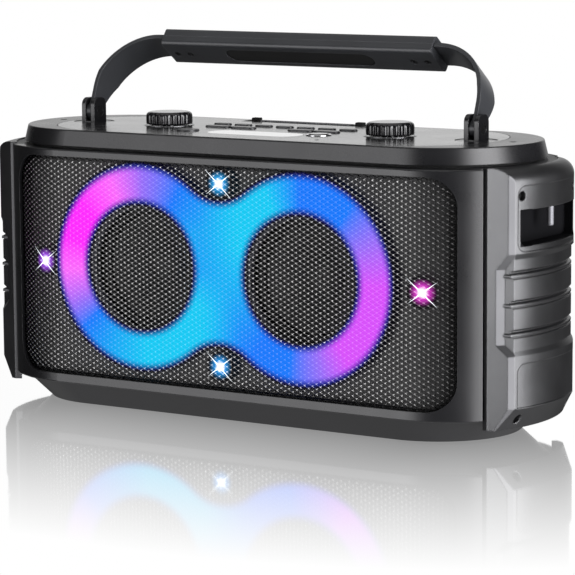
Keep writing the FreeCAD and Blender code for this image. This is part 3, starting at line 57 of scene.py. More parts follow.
def place_camera():
    """A long lens in front and a little to the right, looking slightly down."""
    back = direction(*CAMERA_FROM)
    right = (-back).cross(Vector((0, 0, 1))).normalized()
    up = right.cross(-back)
    level = Matrix((right, up, back))
    yaw, pitch, roll = (math.radians(a) for a in CAMERA_TURN)
    yaw_turn = Matrix.Rotation(yaw, 3, "Y")
    turn = Matrix.Rotation(roll, 3, "Z") @ Matrix.Rotation(pitch, 3, "X") @ yaw_turn
    data = bpy.data.cameras.new("camera")
    data.sensor_width = 36.0
    data.lens = CAMERA_LENS
    data.clip_start, data.clip_end = 0.05, 50.0
    camera = bpy.data.objects.new("camera", data)
    place = Matrix.Translation(MIDDLE + back * CAMERA_DISTANCE)
    camera.matrix_world = place @ (turn @ level).transposed().to_4x4()
    bpy.context.scene.collection.objects.link(camera)
    bpy.context.scene.camera = camera


# ---------------------------------------------------------------- shader helpers
class Tree:
    """Adds nodes to one node tree in a few words."""

    def __init__(self, tree):
        self.tree = tree
        tree.nodes.clear()

    def add(self, kind, inputs=None, **settings):
        node = self.tree.nodes.new(kind)
        for key, value in settings.items():
            setattr(node, key, value)
        for key, value in (inputs or {}).items():
            self.feed(node.inputs[key], value)
        return node

    def feed(self, socket, value):
        if isinstance(value, Value):
            value = value.socket
        if isinstance(value, bpy.types.NodeSocket):
            self.tree.links.new(value, socket)
        else:
            socket.default_value = value

    def place(self):
        """Object coordinates, which are the row frame's metres, as three numbers."""
        coordinates = self.add("ShaderNodeTexCoord").outputs["Object"]
        split = self.add("ShaderNodeSeparateXYZ", {"Vector": coordinates})
        return [Value(self, split.outputs[i]) for i in range(3)]

    def noise(self, scale, detail=2.0, roughness=0.5):
        vector = self.add("ShaderNodeTexCoord").outputs["Object"]
        node = self.add("ShaderNodeTexNoise", {
            "Vector": vector, "Scale": scale, "Detail": detail, "Roughness": roughness})
        return Value(self, node.outputs["Fac"])

    def ramp(self, factor, stops):
        node = self.add("ShaderNodeValToRGB", {"Fac": factor})
        elements = node.color_ramp.elements
        while len(elements) < len(stops):
            elements.new(0.5)
        for element, (position, colour) in zip(elements, stops):
            element.position = position
            element.color = (*colour, 1.0)
        return node.outputs["Color"]

    def mix(self, factor, a, b):
        node = self.add("ShaderNodeMix", data_type="RGBA")
        self.feed(node.inputs["Factor"], factor)
        self.feed(node.inputs[6], a if not isinstance(a, tuple) else (*a, 1.0))
        self.feed(node.inputs[7], b if not isinstance(b, tuple) else (*b, 1.0))
        return node.outputs[2]

    def bump(self, height, distance, normal=None):
        inputs = {"Height": height, "Distance": distance, "Strength": 1.0}
        if normal is not None:
            inputs["Normal"] = normal
        return self.add("ShaderNodeBump", inputs).outputs["Normal"]

    def soft_edge(self, radius):
        return self.add("ShaderNodeBevel", {"Radius": radius}, samples=4).outputs["Normal"]

    def output(self, surface):
        self.add("ShaderNodeOutputMaterial", {"Surface": surface})


class Value:
    """A number that varies over a surface, so that patterns can be written as sums."""

    def __init__(self, tree, socket):
        self.tree = tree
        self.socket = socket

    def math(self, operation, *others):
        node = self.tree.tree.nodes.new("ShaderNodeMath")
        node.operation = operation
        for socket, value in zip(node.inputs, (self, *others)):
            self.tree.feed(socket, value)
        return Value(self.tree, node.outputs[0])

    def __add__(self, other):
        return self.math("ADD", other)

    def __sub__(self, other):
        return self.math("SUBTRACT", other)

    def __rsub__(self, other):
        return (self * -1.0) + other

    def __mul__(self, other):
        return self.math("MULTIPLY", other)

    def __truediv__(self, other):
        return self.math("DIVIDE", other)

    def __abs__(self):
        return self.math("ABSOLUTE")

    def low(self, other):
        return self.math("MINIMUM", other)

    def high(self, other):
        return self.math("MAXIMUM", other)

    def sqrt(self):
        return self.math("SQRT")

    def span(self, start, end, smooth=True):
        """0 at start, 1 at end, held outside."""
        node = self.tree.add("ShaderNodeMapRange", {
            "Value": self, "From Min": start, "From Max": end},
            interpolation_type="SMOOTHSTEP" if smooth else "LINEAR", clamp=True)
        return Value(self.tree, node.outputs["Result"])


def material(name):
    made = bpy.data.materials.new(name)
    made.use_nodes = True
    return made, Tree(made.node_tree)


def within(value, limits):
    """1 between two limits and 0 outside, with a short ramp across each."""
    low, high = limits
    soft = 0.15
    return value.span(low - soft, low + soft, False) * value.span(high + soft, high - soft, False)


COAT_ROUGHNESS = 0.08
# black that is painted inside a recess as its shade
RECESS_SHADE_BLACK = (0.004, 0.004, 0.005)


def moulded(name, colour, roughness, grain, depth, metallic=0.0, coat=0.0, edge=0.35,
            specular=0.5, dark=None):
    """Moulded plastic or painted part: fine grain, slightly uneven gloss, softened edges painted
    lighter, partly as edge wear and partly as a painted highlight.

    grain and edge are in mm, depth is the grain's height in mm. dark is a box, by |x|, y and z
    limits in mm, inside which plain black is painted as the shade in a recess."""
    made, tree = material(name)
    patches = tree.noise(38.0, 3.0)
    fine = tree.noise(1.0 / (grain * MM), 2.0, 0.6)
    rounded = tree.soft_edge(edge * MM)
    normal = tree.bump(fine, depth * MM, rounded)
    geometry = tree.add("ShaderNodeNewGeometry").outputs["Normal"]
    across = tree.add("ShaderNodeVectorMath", operation="DOT_PRODUCT")
    tree.feed(across.inputs[0], rounded)
    tree.feed(across.inputs[1], geometry)
    # edges painted lighter: partly edge wear, partly a painted highlight along them
    edge_wear_and_highlight = Value(tree, across.outputs["Value"]).span(0.995, 0.80)
    lighter = tuple(min(1.0, c * 1.9 + 0.01) for c in colour)
    darker = tuple(c * 0.86 for c in colour)
    body = tree.mix(patches.span(0.3, 0.7), darker, colour)
    shade = tree.mix(edge_wear_and_highlight * 0.6, body, lighter)
    gloss = (patches - 0.5) * 0.10 + (fine - 0.5) * 0.08 + roughness
    # painted shade: inside the dark box the part is painted black, standing for the shade in the recess
    if dark:
        x, y, z = (axis / MM for axis in tree.place())
        painted_recess_shade = within(abs(x), dark[0]) * within(y, dark[1]) * within(z, dark[2])
        shade = tree.mix(painted_recess_shade, shade, RECESS_SHADE_BLACK)
        gloss = gloss + painted_recess_shade * 0.35
    shader = tree.add("ShaderNodeBsdfPrincipled", {
        "Base Color": shade, "Roughness": gloss, "Metallic": metallic, "Normal": normal,
        "Coat Weight": coat, "Coat Roughness": COAT_ROUGHNESS, "Specular IOR Level": specular})
    tree.output(shader.outputs["BSDF"])
    return made


# ---------------------------------------------------------------- studio
# World zones: where each starts, is full, starts to fade and ends; azimuths in degrees, heights as
# the upward part of a unit vector.
REAR_NODES = ("rear_cabinet", "jack_panel", "jack_sockets", "bass_port", "rear_screws")
KEY_AZIMUTH = (47.0, 67.0, 88.0, 110.0)
KEY_HEIGHT = (-0.85, -0.40, 0.30, 0.60)
KEY_LIGHT = 10.5
FRONT_AZIMUTH = (-47.0, -36.0, -16.0, -4.0)
FRONT_HEIGHT = (-0.75, -0.30, 0.15, 0.45)
FRONT_LIGHT = 4.0
PANEL_COLOUR = (0.985, 0.98, 1.0, 1.0)
BACK_AZIMUTH = (165.0, 200.0, 212.0, 256.0)
BACK_HEIGHT = (-0.14, 0.06, 0.22, 0.50)
TOP_LIGHT = 0.75
BOUNCE_LIGHT = 0.45
BASE_LIGHT = 0.02
FLOOR_HALF = 6.0
MIRROR_LINE = 0.12        # half length of the line under the speaker from which the mirror fades
MIRROR_FADE = (0.36, 0.05)  # distances from that line where the mirror is gone and is full
MIRROR_FULL = 0.74


def softbox(name, azimuth, elevation, distance, size, power, receivers):
    """Panel light that shines on the named nodes only."""
    data = bpy.data.lights.new(name, "AREA")
    data.shape = "RECTANGLE"
    data.size, data.size_y = size
    data.energy = power
    lamp = bpy.data.objects.new(name, data)
    towards = direction(azimuth, elevation)
    lamp.location = MIDDLE + towards * distance
    lamp.rotation_euler = towards.to_track_quat("Z", "Y").to_euler()
    lamp.visible_camera = False
    bpy.context.scene.collection.objects.link(lamp)
    lit = bpy.data.collections.new(name)
    for node in receivers:
        lit.objects.link(NODES[node])
    lamp.light_linking.receiver_collection = lit


def band(value, start, full, fade, end):
    """0 before start, 1 from full to fade, 0 after end."""
    return value.span(start, full) * value.span(end, fade)


def studio():
    """Soft light from a wide panel at the right, a narrow one at the front left and a white back wall.

    The panels are zones of the world, by azimuth (0 in front, 90 at the right-hand end) and height."""
    scene = bpy.context.scene
    scene.view_settings.view_transform = "Standard"
    world = bpy.data.worlds.new("studio")
    scene.world = world
    world.use_nodes = True
    tree = Tree(world.node_tree)
    way = tree.add("ShaderNodeTexCoord").outputs["Generated"]
    split = tree.add("ShaderNodeSeparateXYZ", {"Vector": way})
    x, y, z = (Value(tree, split.outputs[i]) for i in range(3))
    azimuth = x.math("ARCTAN2", y * -1.0) * (180 / math.pi)
    key = band(azimuth, *KEY_AZIMUTH) * band(z, *KEY_HEIGHT) * KEY_LIGHT
    front = band(azimuth, *FRONT_AZIMUTH) * band(z, *FRONT_HEIGHT) * FRONT_LIGHT
    behind = (azimuth / 360 + 1).math("FRACT") * 360
    back = band(behind, *BACK_AZIMUTH) * band(z, *BACK_HEIGHT)
    top = z.span(0.55, 0.95) * TOP_LIGHT + z.span(-0.28, -0.75) * BOUNCE_LIGHT
    panels = tree.add("ShaderNodeBackground", {"Color": PANEL_COLOUR, "Strength": key + front})
    around_panels = back + top + BASE_LIGHT
    walls = tree.add("ShaderNodeBackground", {"Color": (1, 1, 1, 1), "Strength": around_panels})
    around = tree.add("ShaderNodeAddShader")
    tree.feed(around.inputs[0], panels.outputs["Background"])
    tree.feed(around.inputs[1], walls.outputs["Background"])
    white = tree.add("ShaderNodeBackground", {"Color": (1, 1, 1, 1), "Strength": 1.0})
    seen = tree.add("ShaderNodeLightPath").outputs["Is Camera Ray"]
    both = tree.add("ShaderNodeMixShader", {"Fac": seen})
    tree.feed(both.inputs[1], around.outputs["Shader"])
    tree.feed(both.inputs[2], white.outputs["Background"])
    out = tree.add("ShaderNodeOutputWorld")
    tree.feed(out.inputs["Surface"], both.outputs["Shader"])
    softbox("cheek_front", 4, 2, 1.1, (0.55, 0.55), 10.5, ("cheek_right",))
    softbox("back_fill", 155, 10, 1.3, (0.8, 0.8), 9.0, REAR_NODES)
    softbox("cheek_far", 4, 2, 1.1, (0.55, 0.55), 3.0, ("cheek_left",))
    softbox("cheek_side", 101, -1, 1.1, (0.38, 0.56), 8.0, ("cheek_right",))


def mesh_of(name, points, faces):
    mesh = bpy.data.meshes.new(name)
    mesh.from_pydata(points, [], faces)
    return mesh


def floor():
    """White sweep with a soft mirror image of the speaker that fades a short way in front of it."""
    half = FLOOR_HALF
    corners = [(-half, -half, 0), (half, -half, 0), (half, half, 0), (-half, half, 0)]
    mesh = mesh_of("floor", corners, [(0, 1, 2, 3)])
    made, tree = material("floor_white")
    x, y, _ = tree.place()
    away = (abs(x) - MIRROR_LINE).high(0.0)
    reach = (away * away + y * y).sqrt()
    mirror = reach.span(*MIRROR_FADE, False) * MIRROR_FULL
    white = tree.add("ShaderNodeEmission", {"Color": (1, 1, 1, 1), "Strength": 1.0})
    shine = tree.add("ShaderNodeBsdfGlossy", {"Color": (1, 1, 1, 1), "Roughness": 0.05})
    both = tree.add("ShaderNodeMixShader", {"Fac": mirror})
    tree.feed(both.inputs[1], white.outputs["Emission"])
    tree.feed(both.inputs[2], shine.outputs["BSDF"])
    tree.output(both.outputs["Shader"])
    mesh.materials.append(made)
    ground = bpy.data.objects.new("floor", mesh)
    ground.visible_diffuse = ground.visible_glossy = ground.visible_shadow = False
    bpy.context.scene.collection.objects.link(ground)


# ---------------------------------------------------------------- the light show
LOBE_X = (-61.4, 56.9)
LOBE_Z = 94.7
RING_OUT = 62.7
RING_IN = 42.7
WAIST = 42.5
MIDDLE_X = sum(LOBE_X) / 2
HALF_X = (LOBE_X[1] - LOBE_X[0]) / 2
WAIST_R = (HALF_X ** 2 + WAIST ** 2 - RING_OUT ** 2) / (2 * (RING_OUT - WAIST))
GUIDE_SHIFT = -2.4    # how far the pattern moves along X on each surface that lies behind the mesh
FILM_SHIFT = -0.8
LENS_SHIFT = -3.0
FILM_LIFT = -1.25     # the film's distance from the mesh's face
CYAN = (0.004, 0.56, 0.86)
SKY = (0.004, 0.36, 0.87)
BLUE = (0.006, 0.185, 0.93)
VIOLET = (0.30, 0.15, 0.90)
PINK = (0.98, 0.02, 0.96)
ORCHID = (0.66, 0.08, 0.92)
ROSE = (0.92, 0.14, 0.93)


def light_depth(tree, shift=0.0):
    """How far a point is inside the figure-eight light band, in mm, and where it is from the middle.

    shift moves the pattern along X for a surface that lies behind the mesh."""
    x, _, z = tree.place()
    x, z = x / MM - (MIDDLE_X + shift), z / MM - LOBE_Z
    side, above = abs(x), abs(z)
    to_driver = ((side - HALF_X) * (side - HALF_X) + z * z).sqrt()
    blend_z = WAIST + WAIST_R
    to_blend = (side * side + (above - blend_z) * (above - blend_z)).sqrt()
    limit = HALF_X * blend_z
    near_waist = (side * blend_z + above * HALF_X).span(limit + 1, limit - 1, False)
    outside = (to_blend - WAIST_R) * near_waist + (RING_OUT - to_driver) * (1.0 - near_waist)
    return outside.low(to_driver - RING_IN), x, z


def light_colour(tree, x, z):
    """Colours that run round each lobe and meet in blue and cyan at the waist."""
    def lobe(centre, stops):
        turn = z.math("ARCTAN2", x - centre) / math.tau
        turn = turn.math("FRACT")
        return tree.ramp(turn, [(angle / 360, colour) for angle, colour in stops])
    left = lobe(-HALF_X, [
        (0, SKY), (30, SKY), (60, BLUE), (88, VIOLET), (112, ROSE), (140, PINK), (165, PINK),
        (185, ROSE), (208, VIOLET), (222, BLUE), (245, SKY), (275, CYAN), (335, CYAN), (360, SKY)])
    right = lobe(HALF_X, [
        (0, ORCHID), (28, VIOLET), (52, BLUE), (90, BLUE), (115, CYAN), (160, CYAN), (200, SKY),
        (235, BLUE), (262, BLUE), (285, VIOLET), (305, ORCHID), (345, ORCHID), (360, ORCHID)])
    return tree.mix(x.span(-18.0, 18.0), left, right)


def band_glow(tree, shift, spread):
    """Light of the band: full inside, and at its edges red fades before green and blue last."""
    depth, x, z = light_depth(tree, shift)
    split = tree.add("ShaderNodeSeparateColor", {"Color": light_colour(tree, x, z)})
    fades = (depth.span(-0.7 * spread, 1.1 * spread), depth.span(-0.9 * spread, 1.1 * spread),
             depth.span(-1.2 * spread, 1.0 * spread))
    join = tree.add("ShaderNodeCombineColor")
    for k, fade in enumerate(fades):
        tree.feed(join.inputs[k], Value(tree, split.outputs[k]) * fade)
    return join.outputs["Color"]


STARS = {"left": (-136.8, 94.0, (0.45, 0.10, 1.0)), "right": (141.3, 93.3, (0.95, 0.06, 0.80)),
         "top": (-1.6, 150.6, (0.02, 0.45, 1.0)), "bottom": (-1.8, 36.7, (0.02, 0.40, 1.0))}


def star_glow(tree, shift, base):
    """The band's light plus a painted coloured halo, with a painted white core, round each star light.
    """
    x, _, z = tree.place()
    x, z = x / MM - shift, z / MM
    colour = base
    for star_x, star_z, tint in STARS.values():
        reach = ((x - star_x) * (x - star_x) + (z - star_z) * (z - star_z)).sqrt()
        halo = reach.span(8.8, 1.0)
        core = reach.span(4.2, 1.6)
        colour = tree.mix(halo, colour, tint)
        colour = tree.mix(core, colour, (1.0, 1.0, 1.0))
    return colour


def glowing(made, tree, base, roughness, glow, strength=1.0, specular=0.5):
    """Finishes a material that gives off light."""
    shader = tree.add("ShaderNodeBsdfPrincipled", {
        "Base Color": (*base, 1), "Roughness": roughness, "Specular IOR Level": specular,
        "Emission Color": glow, "Emission Strength": strength})
    tree.output(shader.outputs["BSDF"])
    return made


def light_band():
    made, tree = material("light_diffuser")
    return glowing(made, tree, (0.04, 0.04, 0.05), 0.5, band_glow(tree, GUIDE_SHIFT, 2.8), specular=0.2)


def film_light():
    made, tree = material("light_film")
    glow = star_glow(tree, FILM_SHIFT, band_glow(tree, FILM_SHIFT, 3.0))
    return glowing(made, tree, (0.006, 0.006, 0.008), 0.6, glow, specular=0.1)


def inside_band(x, z):
    """How far a point of the mesh plane is inside the light band, in mm, as light_depth finds it."""
    side, above = abs(x - MIDDLE_X), abs(z - LOBE_Z)
    to_driver = math.hypot(side - HALF_X, above)
    blend_z = WAIST + WAIST_R
    outside = RING_OUT - to_driver
    if side * blend_z + above * HALF_X < HALF_X * blend_z:
        outside = math.hypot(side, above - blend_z) - WAIST_R
    return min(outside, to_driver - RING_IN)


def light_film(mat):
    """Thin glowing film just behind the mesh: over the light band it gives the band's diffused light,
    and round the star lights it carries their painted halos.
    """
    cell, margin, halo = 1.2, 4.0, 10.0
    columns, rows = range(-124, 125), range(16, 136)
    known, points, faces = {}, [], []

    def point(i, j):
        if (i, j) not in known:
            known[(i, j)] = len(points)
            points.append(wrapped(i * cell, j * cell, FILM_LIFT))
        return known[(i, j)]

    for i in columns:
        for j in rows:
            x, z = (i + 0.5) * cell - FILM_SHIFT, (j + 0.5) * cell
            near = min(math.hypot(x - star_x, z - star_z) for star_x, star_z, _ in STARS.values())
            if inside_band(x, z) > -margin or near < halo:
                faces.append((point(i, j), point(i + 1, j), point(i + 1, j + 1), point(i, j + 1)))
    return piece("light_film", mesh_of("light_film", points, faces), mat)


def star_lens():
    made, tree = material("star_lens")
    return glowing(made, tree, (0.8, 0.8, 0.8), 0.2, star_glow(tree, LENS_SHIFT, (0.01, 0.05, 0.2)), 0.5)


def star_glints(mat):
    """Painted glints: four long thin glowing rays and a small round core on the mesh over each star
    light.
    """
    rays = ((-10.4, 9.2), (9.6, 7.0), (-9.2, -6.8), (9.9, -9.2))
    lift, core, width = 0.55, 1.25, 0.42
    points, faces = [], []
    for star_x, star_z, _ in STARS.values():
        ring = len(points)
        count = 16
        for k in range(count):
            turn = math.tau * k / count
            points.append(wrapped(star_x + core * math.cos(turn), star_z + core * math.sin(turn), lift))
        faces.append(tuple(range(ring, ring + count)))
        for ray_x, ray_z in rays:
            length = math.hypot(ray_x, ray_z)
            side_x, side_z = -ray_z / length * width, ray_x / length * width
            first = len(points)
            for part, half in ((0.12, 1.0), (0.35, 0.68), (0.70, 0.38), (1.0, 0.0)):
                for side in ((1, -1) if half else (0,)):
                    points.append(wrapped(star_x + ray_x * part + side * half * side_x,
                                          star_z + ray_z * part + side * half * side_z, lift))
            faces.append((first, first + 1, first + 3, first + 2))
            faces.append((first + 2, first + 3, first + 5, first + 4))
            faces.append((first + 4, first + 5, first + 6))
    return piece("star_glints", mesh_of("star_glints", points, faces), mat)


def glint_light():
    made, tree = material("glint_light")
    x, _, z = tree.place()
    x, z = x / MM, z / MM
    near = None
    for star_x, star_z, _ in STARS.values():
        reach = ((x - star_x) * (x - star_x) + (z - star_z) * (z - star_z)).sqrt()
        near = reach if near is None else near.low(reach)
    power = near.span(14.0, 1.0, False) * 1.2 + 0.9
    return glowing(made, tree, (0.1, 0.1, 0.1), 0.5, (0.88, 0.95, 1.0, 1), power)


MESH_GREY = (0.43, 0.425, 0.42)
MESH_DARK = (0.012, 0.012, 0.012)
EDGE_SHADOW = (3.2, 2.0)      # how far inside the window's edge the shadow starts and is full
END_SHADE = (124.0, 160.0)    # |x| between which the mesh turns darker towards its round ends


def mesh_metal():
    """Sprayed steel mesh; round the light band and the stars it glows in their colours, painted light
    for the light it catches from them, and its grey is darkened over the band, as painted shade towards
    its round ends and as a painted shadow inside the window's edge.
    """
    made, tree = material("grille_metal")
    fine = tree.noise(1.0 / (0.25 * MM), 2.0)
    normal = tree.bump(fine, 0.01 * MM)
    # painted light: the band's and the stars' glow given off by the mesh itself
    glow = star_glow(tree, 0.0, band_glow(tree, 0.0, 3.6))
    depth, x, z = light_depth(tree)
    lit = depth.span(-3.0, 2.0)
    x, z = x + MIDDLE_X, z + (LOBE_Z - (WINDOW[1] + WINDOW[2]) / 2)
    aside = (abs(x) - (WINDOW[0] - WINDOW[3])).high(0.0)
    above = (abs(z) - ((WINDOW[2] - WINDOW[1]) / 2 - WINDOW[3])).high(0.0)
    edge = (aside * aside + above * above).sqrt()
    shadow = edge.span(WINDOW[3] - EDGE_SHADOW[0], WINDOW[3] - EDGE_SHADOW[1])
    # grey darkened over the band so the painted glow shows, as painted shade towards the ends and as a
    # painted shadow near the window's edge
    ends = abs(x).span(*END_SHADE) * 0.75
    shade = (lit * 0.8).high(shadow).high(ends)
    body = tree.mix(shade, MESH_GREY, MESH_DARK)
    shader = tree.add("ShaderNodeBsdfPrincipled", {
        "Base Color": body, "Roughness": 0.30, "Metallic": 0.9, "Normal": normal,
        "Emission Color": glow, "Emission Strength": 1.0})
    tree.output(shader.outputs["BSDF"])
    return made


# ---------------------------------------------------------------- grille
GRILLE_R = 64.3
GRILLE_T = 0.9
ARC_X = 126.6
WINDOW = (161.8, 22.1, 162.3, 18.0)  # half width, lower and upper edge, corner radius
SEARCH = (180.0, 75.0)  # half width and half height, along the face, that is tried for openings
TUCK = 1.6              # how far openings go on under the frame's edge
CELL_W = 5.68
CELL_H = 3.24
HOLE_W = 4.95
HOLE_H = 2.45
STRAND_RISE = 0.14


def wrapped(s, z, lift):
    """Point on the grille, s mm along its plan from the centre line, lift mm proud of its face."""
    radius = GRILLE_R + lift
    side = 1 if s >= 0 else -1
    run = abs(s)
    if run <= ARC_X:
        return (s * MM, -radius * MM, z * MM)
    angle = (run - ARC_X) / GRILLE_R
    return (side * (ARC_X + radius * math.sin(angle)) * MM, -radius * math.cos(angle) * MM, z * MM)


def in_window(s, z, extra):
    """True inside the frame's round-cornered window grown by extra mm."""
    half, low, high, corner = WINDOW
    reach = ARC_X + GRILLE_R * math.asin((half - ARC_X) / GRILLE_R) + extra
    dx = max(abs(s) - (reach - corner), 0.0)
    dz = max(abs(z - (low + high) / 2) - ((high - low) / 2 + extra - corner), 0.0)
    return math.hypot(dx, dz) <= corner


def grille_mesh():
    """Expanded steel mesh: rows of lens-shaped openings with ridged strands between them."""
    corners = [(1.0, 0.0), (0.5, 0.5), (0.0, 1.0), (-0.5, 0.5),
               (-1.0, 0.0), (-0.5, -0.5), (0.0, -1.0), (0.5, -0.5)]
    rim = [(1.0, 0.0), (0.62, 0.74), (0.0, 1.0), (-0.62, 0.74),
           (-1.0, 0.0), (-0.62, -0.74), (0.0, -1.0), (0.62, -0.74)]
    points, faces, known = [], [], {}

    def point(s, z, lift, shared):
        key = (round(s, 2), round(z, 2), round(lift, 2))
        if shared and key in known:
            return known[key]
        points.append(wrapped(s, z, lift))
        known[key] = len(points) - 1
        return known[key]

    middle_z = (WINDOW[1] + WINDOW[2]) / 2
    columns = int(SEARCH[0] / (CELL_W / 2))
    rows = int(SEARCH[1] / (CELL_H / 2))
    for i in range(-columns, columns + 1):
        for j in range(-rows, rows + 1):
            if (i + j) % 2:
                continue
            s0, z0 = i * CELL_W / 2, middle_z + j * CELL_H / 2
            if not in_window(s0, z0, TUCK):
                continue
            outer = [point(s0 + a * CELL_W / 2, z0 + b * CELL_H / 2,
                           0.0 if abs(a) == 1 else STRAND_RISE * 0.6, True)
                     for a, b in corners]
            inner = [point(s0 + a * HOLE_W / 2, z0 + b * HOLE_H / 2,
                           -STRAND_RISE * (0.6 + 0.6 * b), False)
                     for a, b in rim]
            deep = [point(s0 + a * HOLE_W / 2, z0 + b * HOLE_H / 2, -GRILLE_T, False) for a, b in rim]
            for k in range(8):
                n = (k + 1) % 8
                faces.append((outer[k], outer[n], inner[n], inner[k]))
                faces.append((inner[k], inner[n], deep[n], deep[k]))
    mesh = mesh_of("mesh_grille", points, faces)
    mesh.validate()
    for face in mesh.polygons:
        face.use_smooth = True
    return mesh


def piece(name, mesh, mat, body="cabinet"):
    """Adds a visible piece that moves with the body and shows the given material."""
    made = bpy.data.objects.new(name, mesh)
    mesh.materials.append(mat)
    bpy.context.scene.collection.objects.link(made)
    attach(made, body)
    return made


# ---------------------------------------------------------------- small deck parts
DECK_Z = 178.8
KNOB_X = 82.7


def disc(points, faces, centre, radii, heights, count=48):
    """Adds a flat ring, or a disc where the inner radius is 0, that stands on the deck."""
    inner, outer = radii
    low, high = heights
    soft = 0.15
    profile = [(outer, low), (outer, high - soft), (outer - soft, high)]
    profile += [(inner + soft, high), (inner, high - soft), (inner, low)] if inner else []
    first, rows = len(points), len(profile)
    for k in range(count):
        turn = math.tau * k / count
        for radius, z in profile:
            x, y = centre[0] + radius * math.cos(turn), centre[1] + radius * math.sin(turn)
            points.append((x * MM, y * MM, z * MM))
    for k in range(count):
        here, after = first + k * rows, first + (k + 1) % count * rows
        for row in range(rows - 1):
            faces.append((here + row, after + row, after + row + 1, here + row + 1))
    if not inner:
        faces.append(tuple(first + k * rows + rows - 1 for k in range(count)))


def fluted_knob(side, mat):
    """Glossy knob with soft shoulders and rounded flutes, in place of its plainer solid."""
    # radius, height and share of the flutes' depth, from the foot up
    profile = ((13.9, 179.5, 0.2), (14.9, 179.9, 0.8), (15.0, 180.6, 1.0), (15.0, 184.6, 1.0),
               (14.8, 185.7, 0.7), (14.3, 186.6, 0.3), (13.5, 187.2, 0.1), (12.5, 187.5, 0.0),
               (11.4, 187.6, 0.0))
    count, flutes, depth = 240, 24, 0.75
    points, faces = [], []
    rows = len(profile)
    for k in range(count):
        turn = math.tau * k / count
        hollow = (0.5 - 0.5 * math.cos(flutes * turn)) ** 1.5 * depth
        for radius, z, weight in profile:
            reach = radius - hollow * weight
            x, y = side * KNOB_X + reach * math.cos(turn), reach * math.sin(turn)
            points.append((x * MM, y * MM, z * MM))
    for k in range(count):
        here, after = k * rows, (k + 1) % count * rows
        for row in range(rows - 1):
            faces.append((here + row, after + row, after + row + 1, here + row + 1))
    faces.append(tuple(k * rows + rows - 1 for k in range(count)))
    faces.append(tuple(k * rows for k in reversed(range(count))))
    name = "left" if side < 0 else "right"
    mesh = mesh_of(f"{name}_fluted_knob", points, faces)
    for face in mesh.polygons:
        face.use_smooth = len(face.vertices) == 4
    made = piece(f"{name}_fluted_knob", mesh, mat, body=f"{name}_knob")
    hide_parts(f"knob_{name}")


def deck_rings(mat):
    """Narrow trim ring round the foot of each knob."""
    points, faces = [], []
    for x in (-KNOB_X, KNOB_X):
        disc(points, faces, (x, 0.0), (15.5, 16.5), (DECK_Z - 0.1, DECK_Z + 0.25))
    return piece("knob_rings", mesh_of("knob_rings", points, faces), mat)


def status_light(mat):
    points, faces = [], []
    disc(points, faces, (57.0, -44.0), (0.0, 1.3), (DECK_Z - 0.1, DECK_Z + 0.2), 24)
    return piece("status_light", mesh_of("status_light", points, faces), mat)


def slot_ribs(mat):
    """Slanting grip ribs along the ledge behind the tablet slot, between its two stops."""
    start, end, pitch, width, slant = -45.8, 25.4, 2.2, 1.0, 2.4
    front, back = 50.9, 55.2
    low, high = DECK_Z - 0.45, DECK_Z + 0.5
    points, faces = [], []
    for k in range(int((end - start - slant) / pitch)):
        x = start + k * pitch
        base = len(points)
        for z, inset in ((low, 0.0), (high, 0.2)):
            for dx, y in ((inset, front + inset), (width - inset, front + inset),
                          (width - inset + slant, back - inset), (inset + slant, back - inset)):
                points.append(((x + dx) * MM, y * MM, z * MM))
        for a in range(4):
            b = (a + 1) % 4
            faces.append((base + a, base + b, base + 4 + b, base + 4 + a))
        faces.append((base + 4, base + 5, base + 6, base + 7))
        faces.append((base + 3, base + 2, base + 1, base))
    return piece("slot_ribs", mesh_of("slot_ribs", points, faces), mat)


# ---------------------------------------------------------------- finishes
def paint(mat, *names):
    for name in names:
        node = NODES[name]
        node.data.materials.clear()
        node.data.materials.append(mat)


# box of the strap pocket in each cheek, painted black there as painted shade
POCKET = ((180.0, 194.6), (-34.9, 36.4), (120.6, 142.7))
KEYS = [f"button_{n}" for n in range(1, 8)] + [f"wide_key_{n}" for n in range(1, 5)] + ["round_key"]


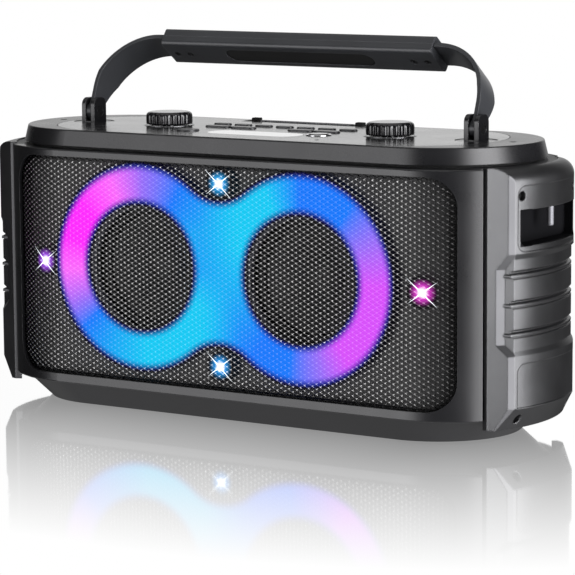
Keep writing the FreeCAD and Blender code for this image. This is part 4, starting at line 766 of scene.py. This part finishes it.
def finishes():
    paint(moulded("cabinet_plastic", (0.030, 0.030, 0.032), 0.46, 0.45, 0.03), "rear_cabinet")
    paint(moulded("frame_plastic", (0.008, 0.008, 0.009), 0.29, 0.30, 0.008), "front_frame")
    paint(moulded("cheek_plastic", (0.0600, 0.0602, 0.0625), 0.34, 0.30, 0.010, metallic=0.90, edge=1.2,
                  dark=POCKET), "cheek_left", "cheek_right")
    paint(moulded("deck_plastic", (0.009, 0.009, 0.010), 0.28, 0.30, 0.008, edge=0.6), "top_bezel")
    paint(moulded("gloss_black", (0.014, 0.014, 0.015), 0.26, 0.30, 0.004, coat=0.35), "control_plate")
    paint(moulded("plinth_plastic", (0.010, 0.010, 0.011), 0.42, 0.40, 0.02), "base_plinth")
    paint(moulded("handle_plastic", (0.034, 0.0355, 0.039), 0.36, 0.30, 0.012, edge=0.7),
          "handle_arm_left", "handle_arm_right", "grip_lower", "grip_upper")
    paint(moulded("clevis_plastic", (0.009, 0.009, 0.010), 0.24, 0.30, 0.008, edge=0.7),
          "clevis_left", "clevis_right")
    paint(moulded("knob_plastic", (0.016, 0.016, 0.017), 0.16, 0.30, 0.004, coat=0.8),
          "knob_left", "knob_right")
    paint(moulded("key_plastic", (0.050, 0.050, 0.053), 0.30, 0.30, 0.006), *KEYS)
    paint(moulded("power_key", (0.012, 0.012, 0.013), 0.22, 0.30, 0.004, coat=0.4), "power_button")
    paint(moulded("soft_rubber", (0.014, 0.014, 0.014), 0.62, 0.40, 0.02, specular=0.3),
          "deck_gasket", "slot_stops", "grip_pad", "rubber_feet", "woofer_suspensions")
    paint(moulded("inner_plastic", (0.012, 0.012, 0.012), 0.55, 0.40, 0.02),
          "front_baffle", "tact_switches", "tablet_tray", "jack_panel", "jack_sockets", "bass_port")
    paint(moulded("black_steel", (0.02, 0.02, 0.02), 0.4, 0.4, 0.01), "woofer_baskets")
    paint(moulded("zinc_steel", (0.45, 0.45, 0.46), 0.35, 0.4, 0.01, metallic=1.0),
          "woofer_magnets", "knob_pots")
    paint(moulded("screw_steel", (0.06, 0.06, 0.062), 0.3, 0.3, 0.01, metallic=0.9, edge=0.15),
          "woofer_screws", "cheek_screws", "pivot_pins", "grip_screws", "rear_screws")
    paint(moulded("peg_steel", (0.20, 0.20, 0.215), 0.55, 0.3, 0.01, metallic=0.5, edge=0.2),
          "strap_pegs")
    paint(moulded("bright_trim", (0.75, 0.75, 0.76), 0.16, 0.3, 0.003, metallic=1.0, edge=0.2),
          "power_ring")
    paint(moulded("display_glass", (0.015, 0.015, 0.018), 0.05, 0.3, 0.0, coat=1.0, edge=0.1),
          "display_window")
    paint(moulded("display_panel", (0.02, 0.03, 0.03), 0.3, 0.3, 0.0), "display_module")
    paint(moulded("cone_paper", (0.02, 0.02, 0.02), 0.7, 0.6, 0.04), "cone_left", "cone_right")
    paint(moulded("battery_sleeve", (0.02, 0.05, 0.16), 0.4, 0.4, 0.01), "battery_pack")
    paint(moulded("circuit_board", (0.01, 0.09, 0.04), 0.4, 0.4, 0.01),
          "light_board", "key_board", "amplifier_board")
    paint(light_band(), "light_guide")
    paint(star_lens(), "star_lenses")


place_camera()
studio()
floor()
finishes()
mesh_piece = piece("mesh_grille", grille_mesh(), mesh_metal())
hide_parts("grille")
light_film(film_light())
for knob_side in (-1, 1):
    gloss = moulded("knob_gloss", (0.006, 0.006, 0.007), 0.15, 0.30, 0.002, edge=0.15, specular=0.6)
    fluted_knob(knob_side, gloss)
deck_rings(moulded("ring_trim", (0.30, 0.30, 0.31), 0.25, 0.30, 0.003, metallic=1.0, edge=0.1))
status_light(moulded("status_black", (0.008, 0.008, 0.009), 0.15, 0.30, 0.002, edge=0.1))
slot_ribs(moulded("rib_rubber", (0.10, 0.10, 0.105), 0.45, 0.30, 0.01, edge=0.15))
star_glints(glint_light())
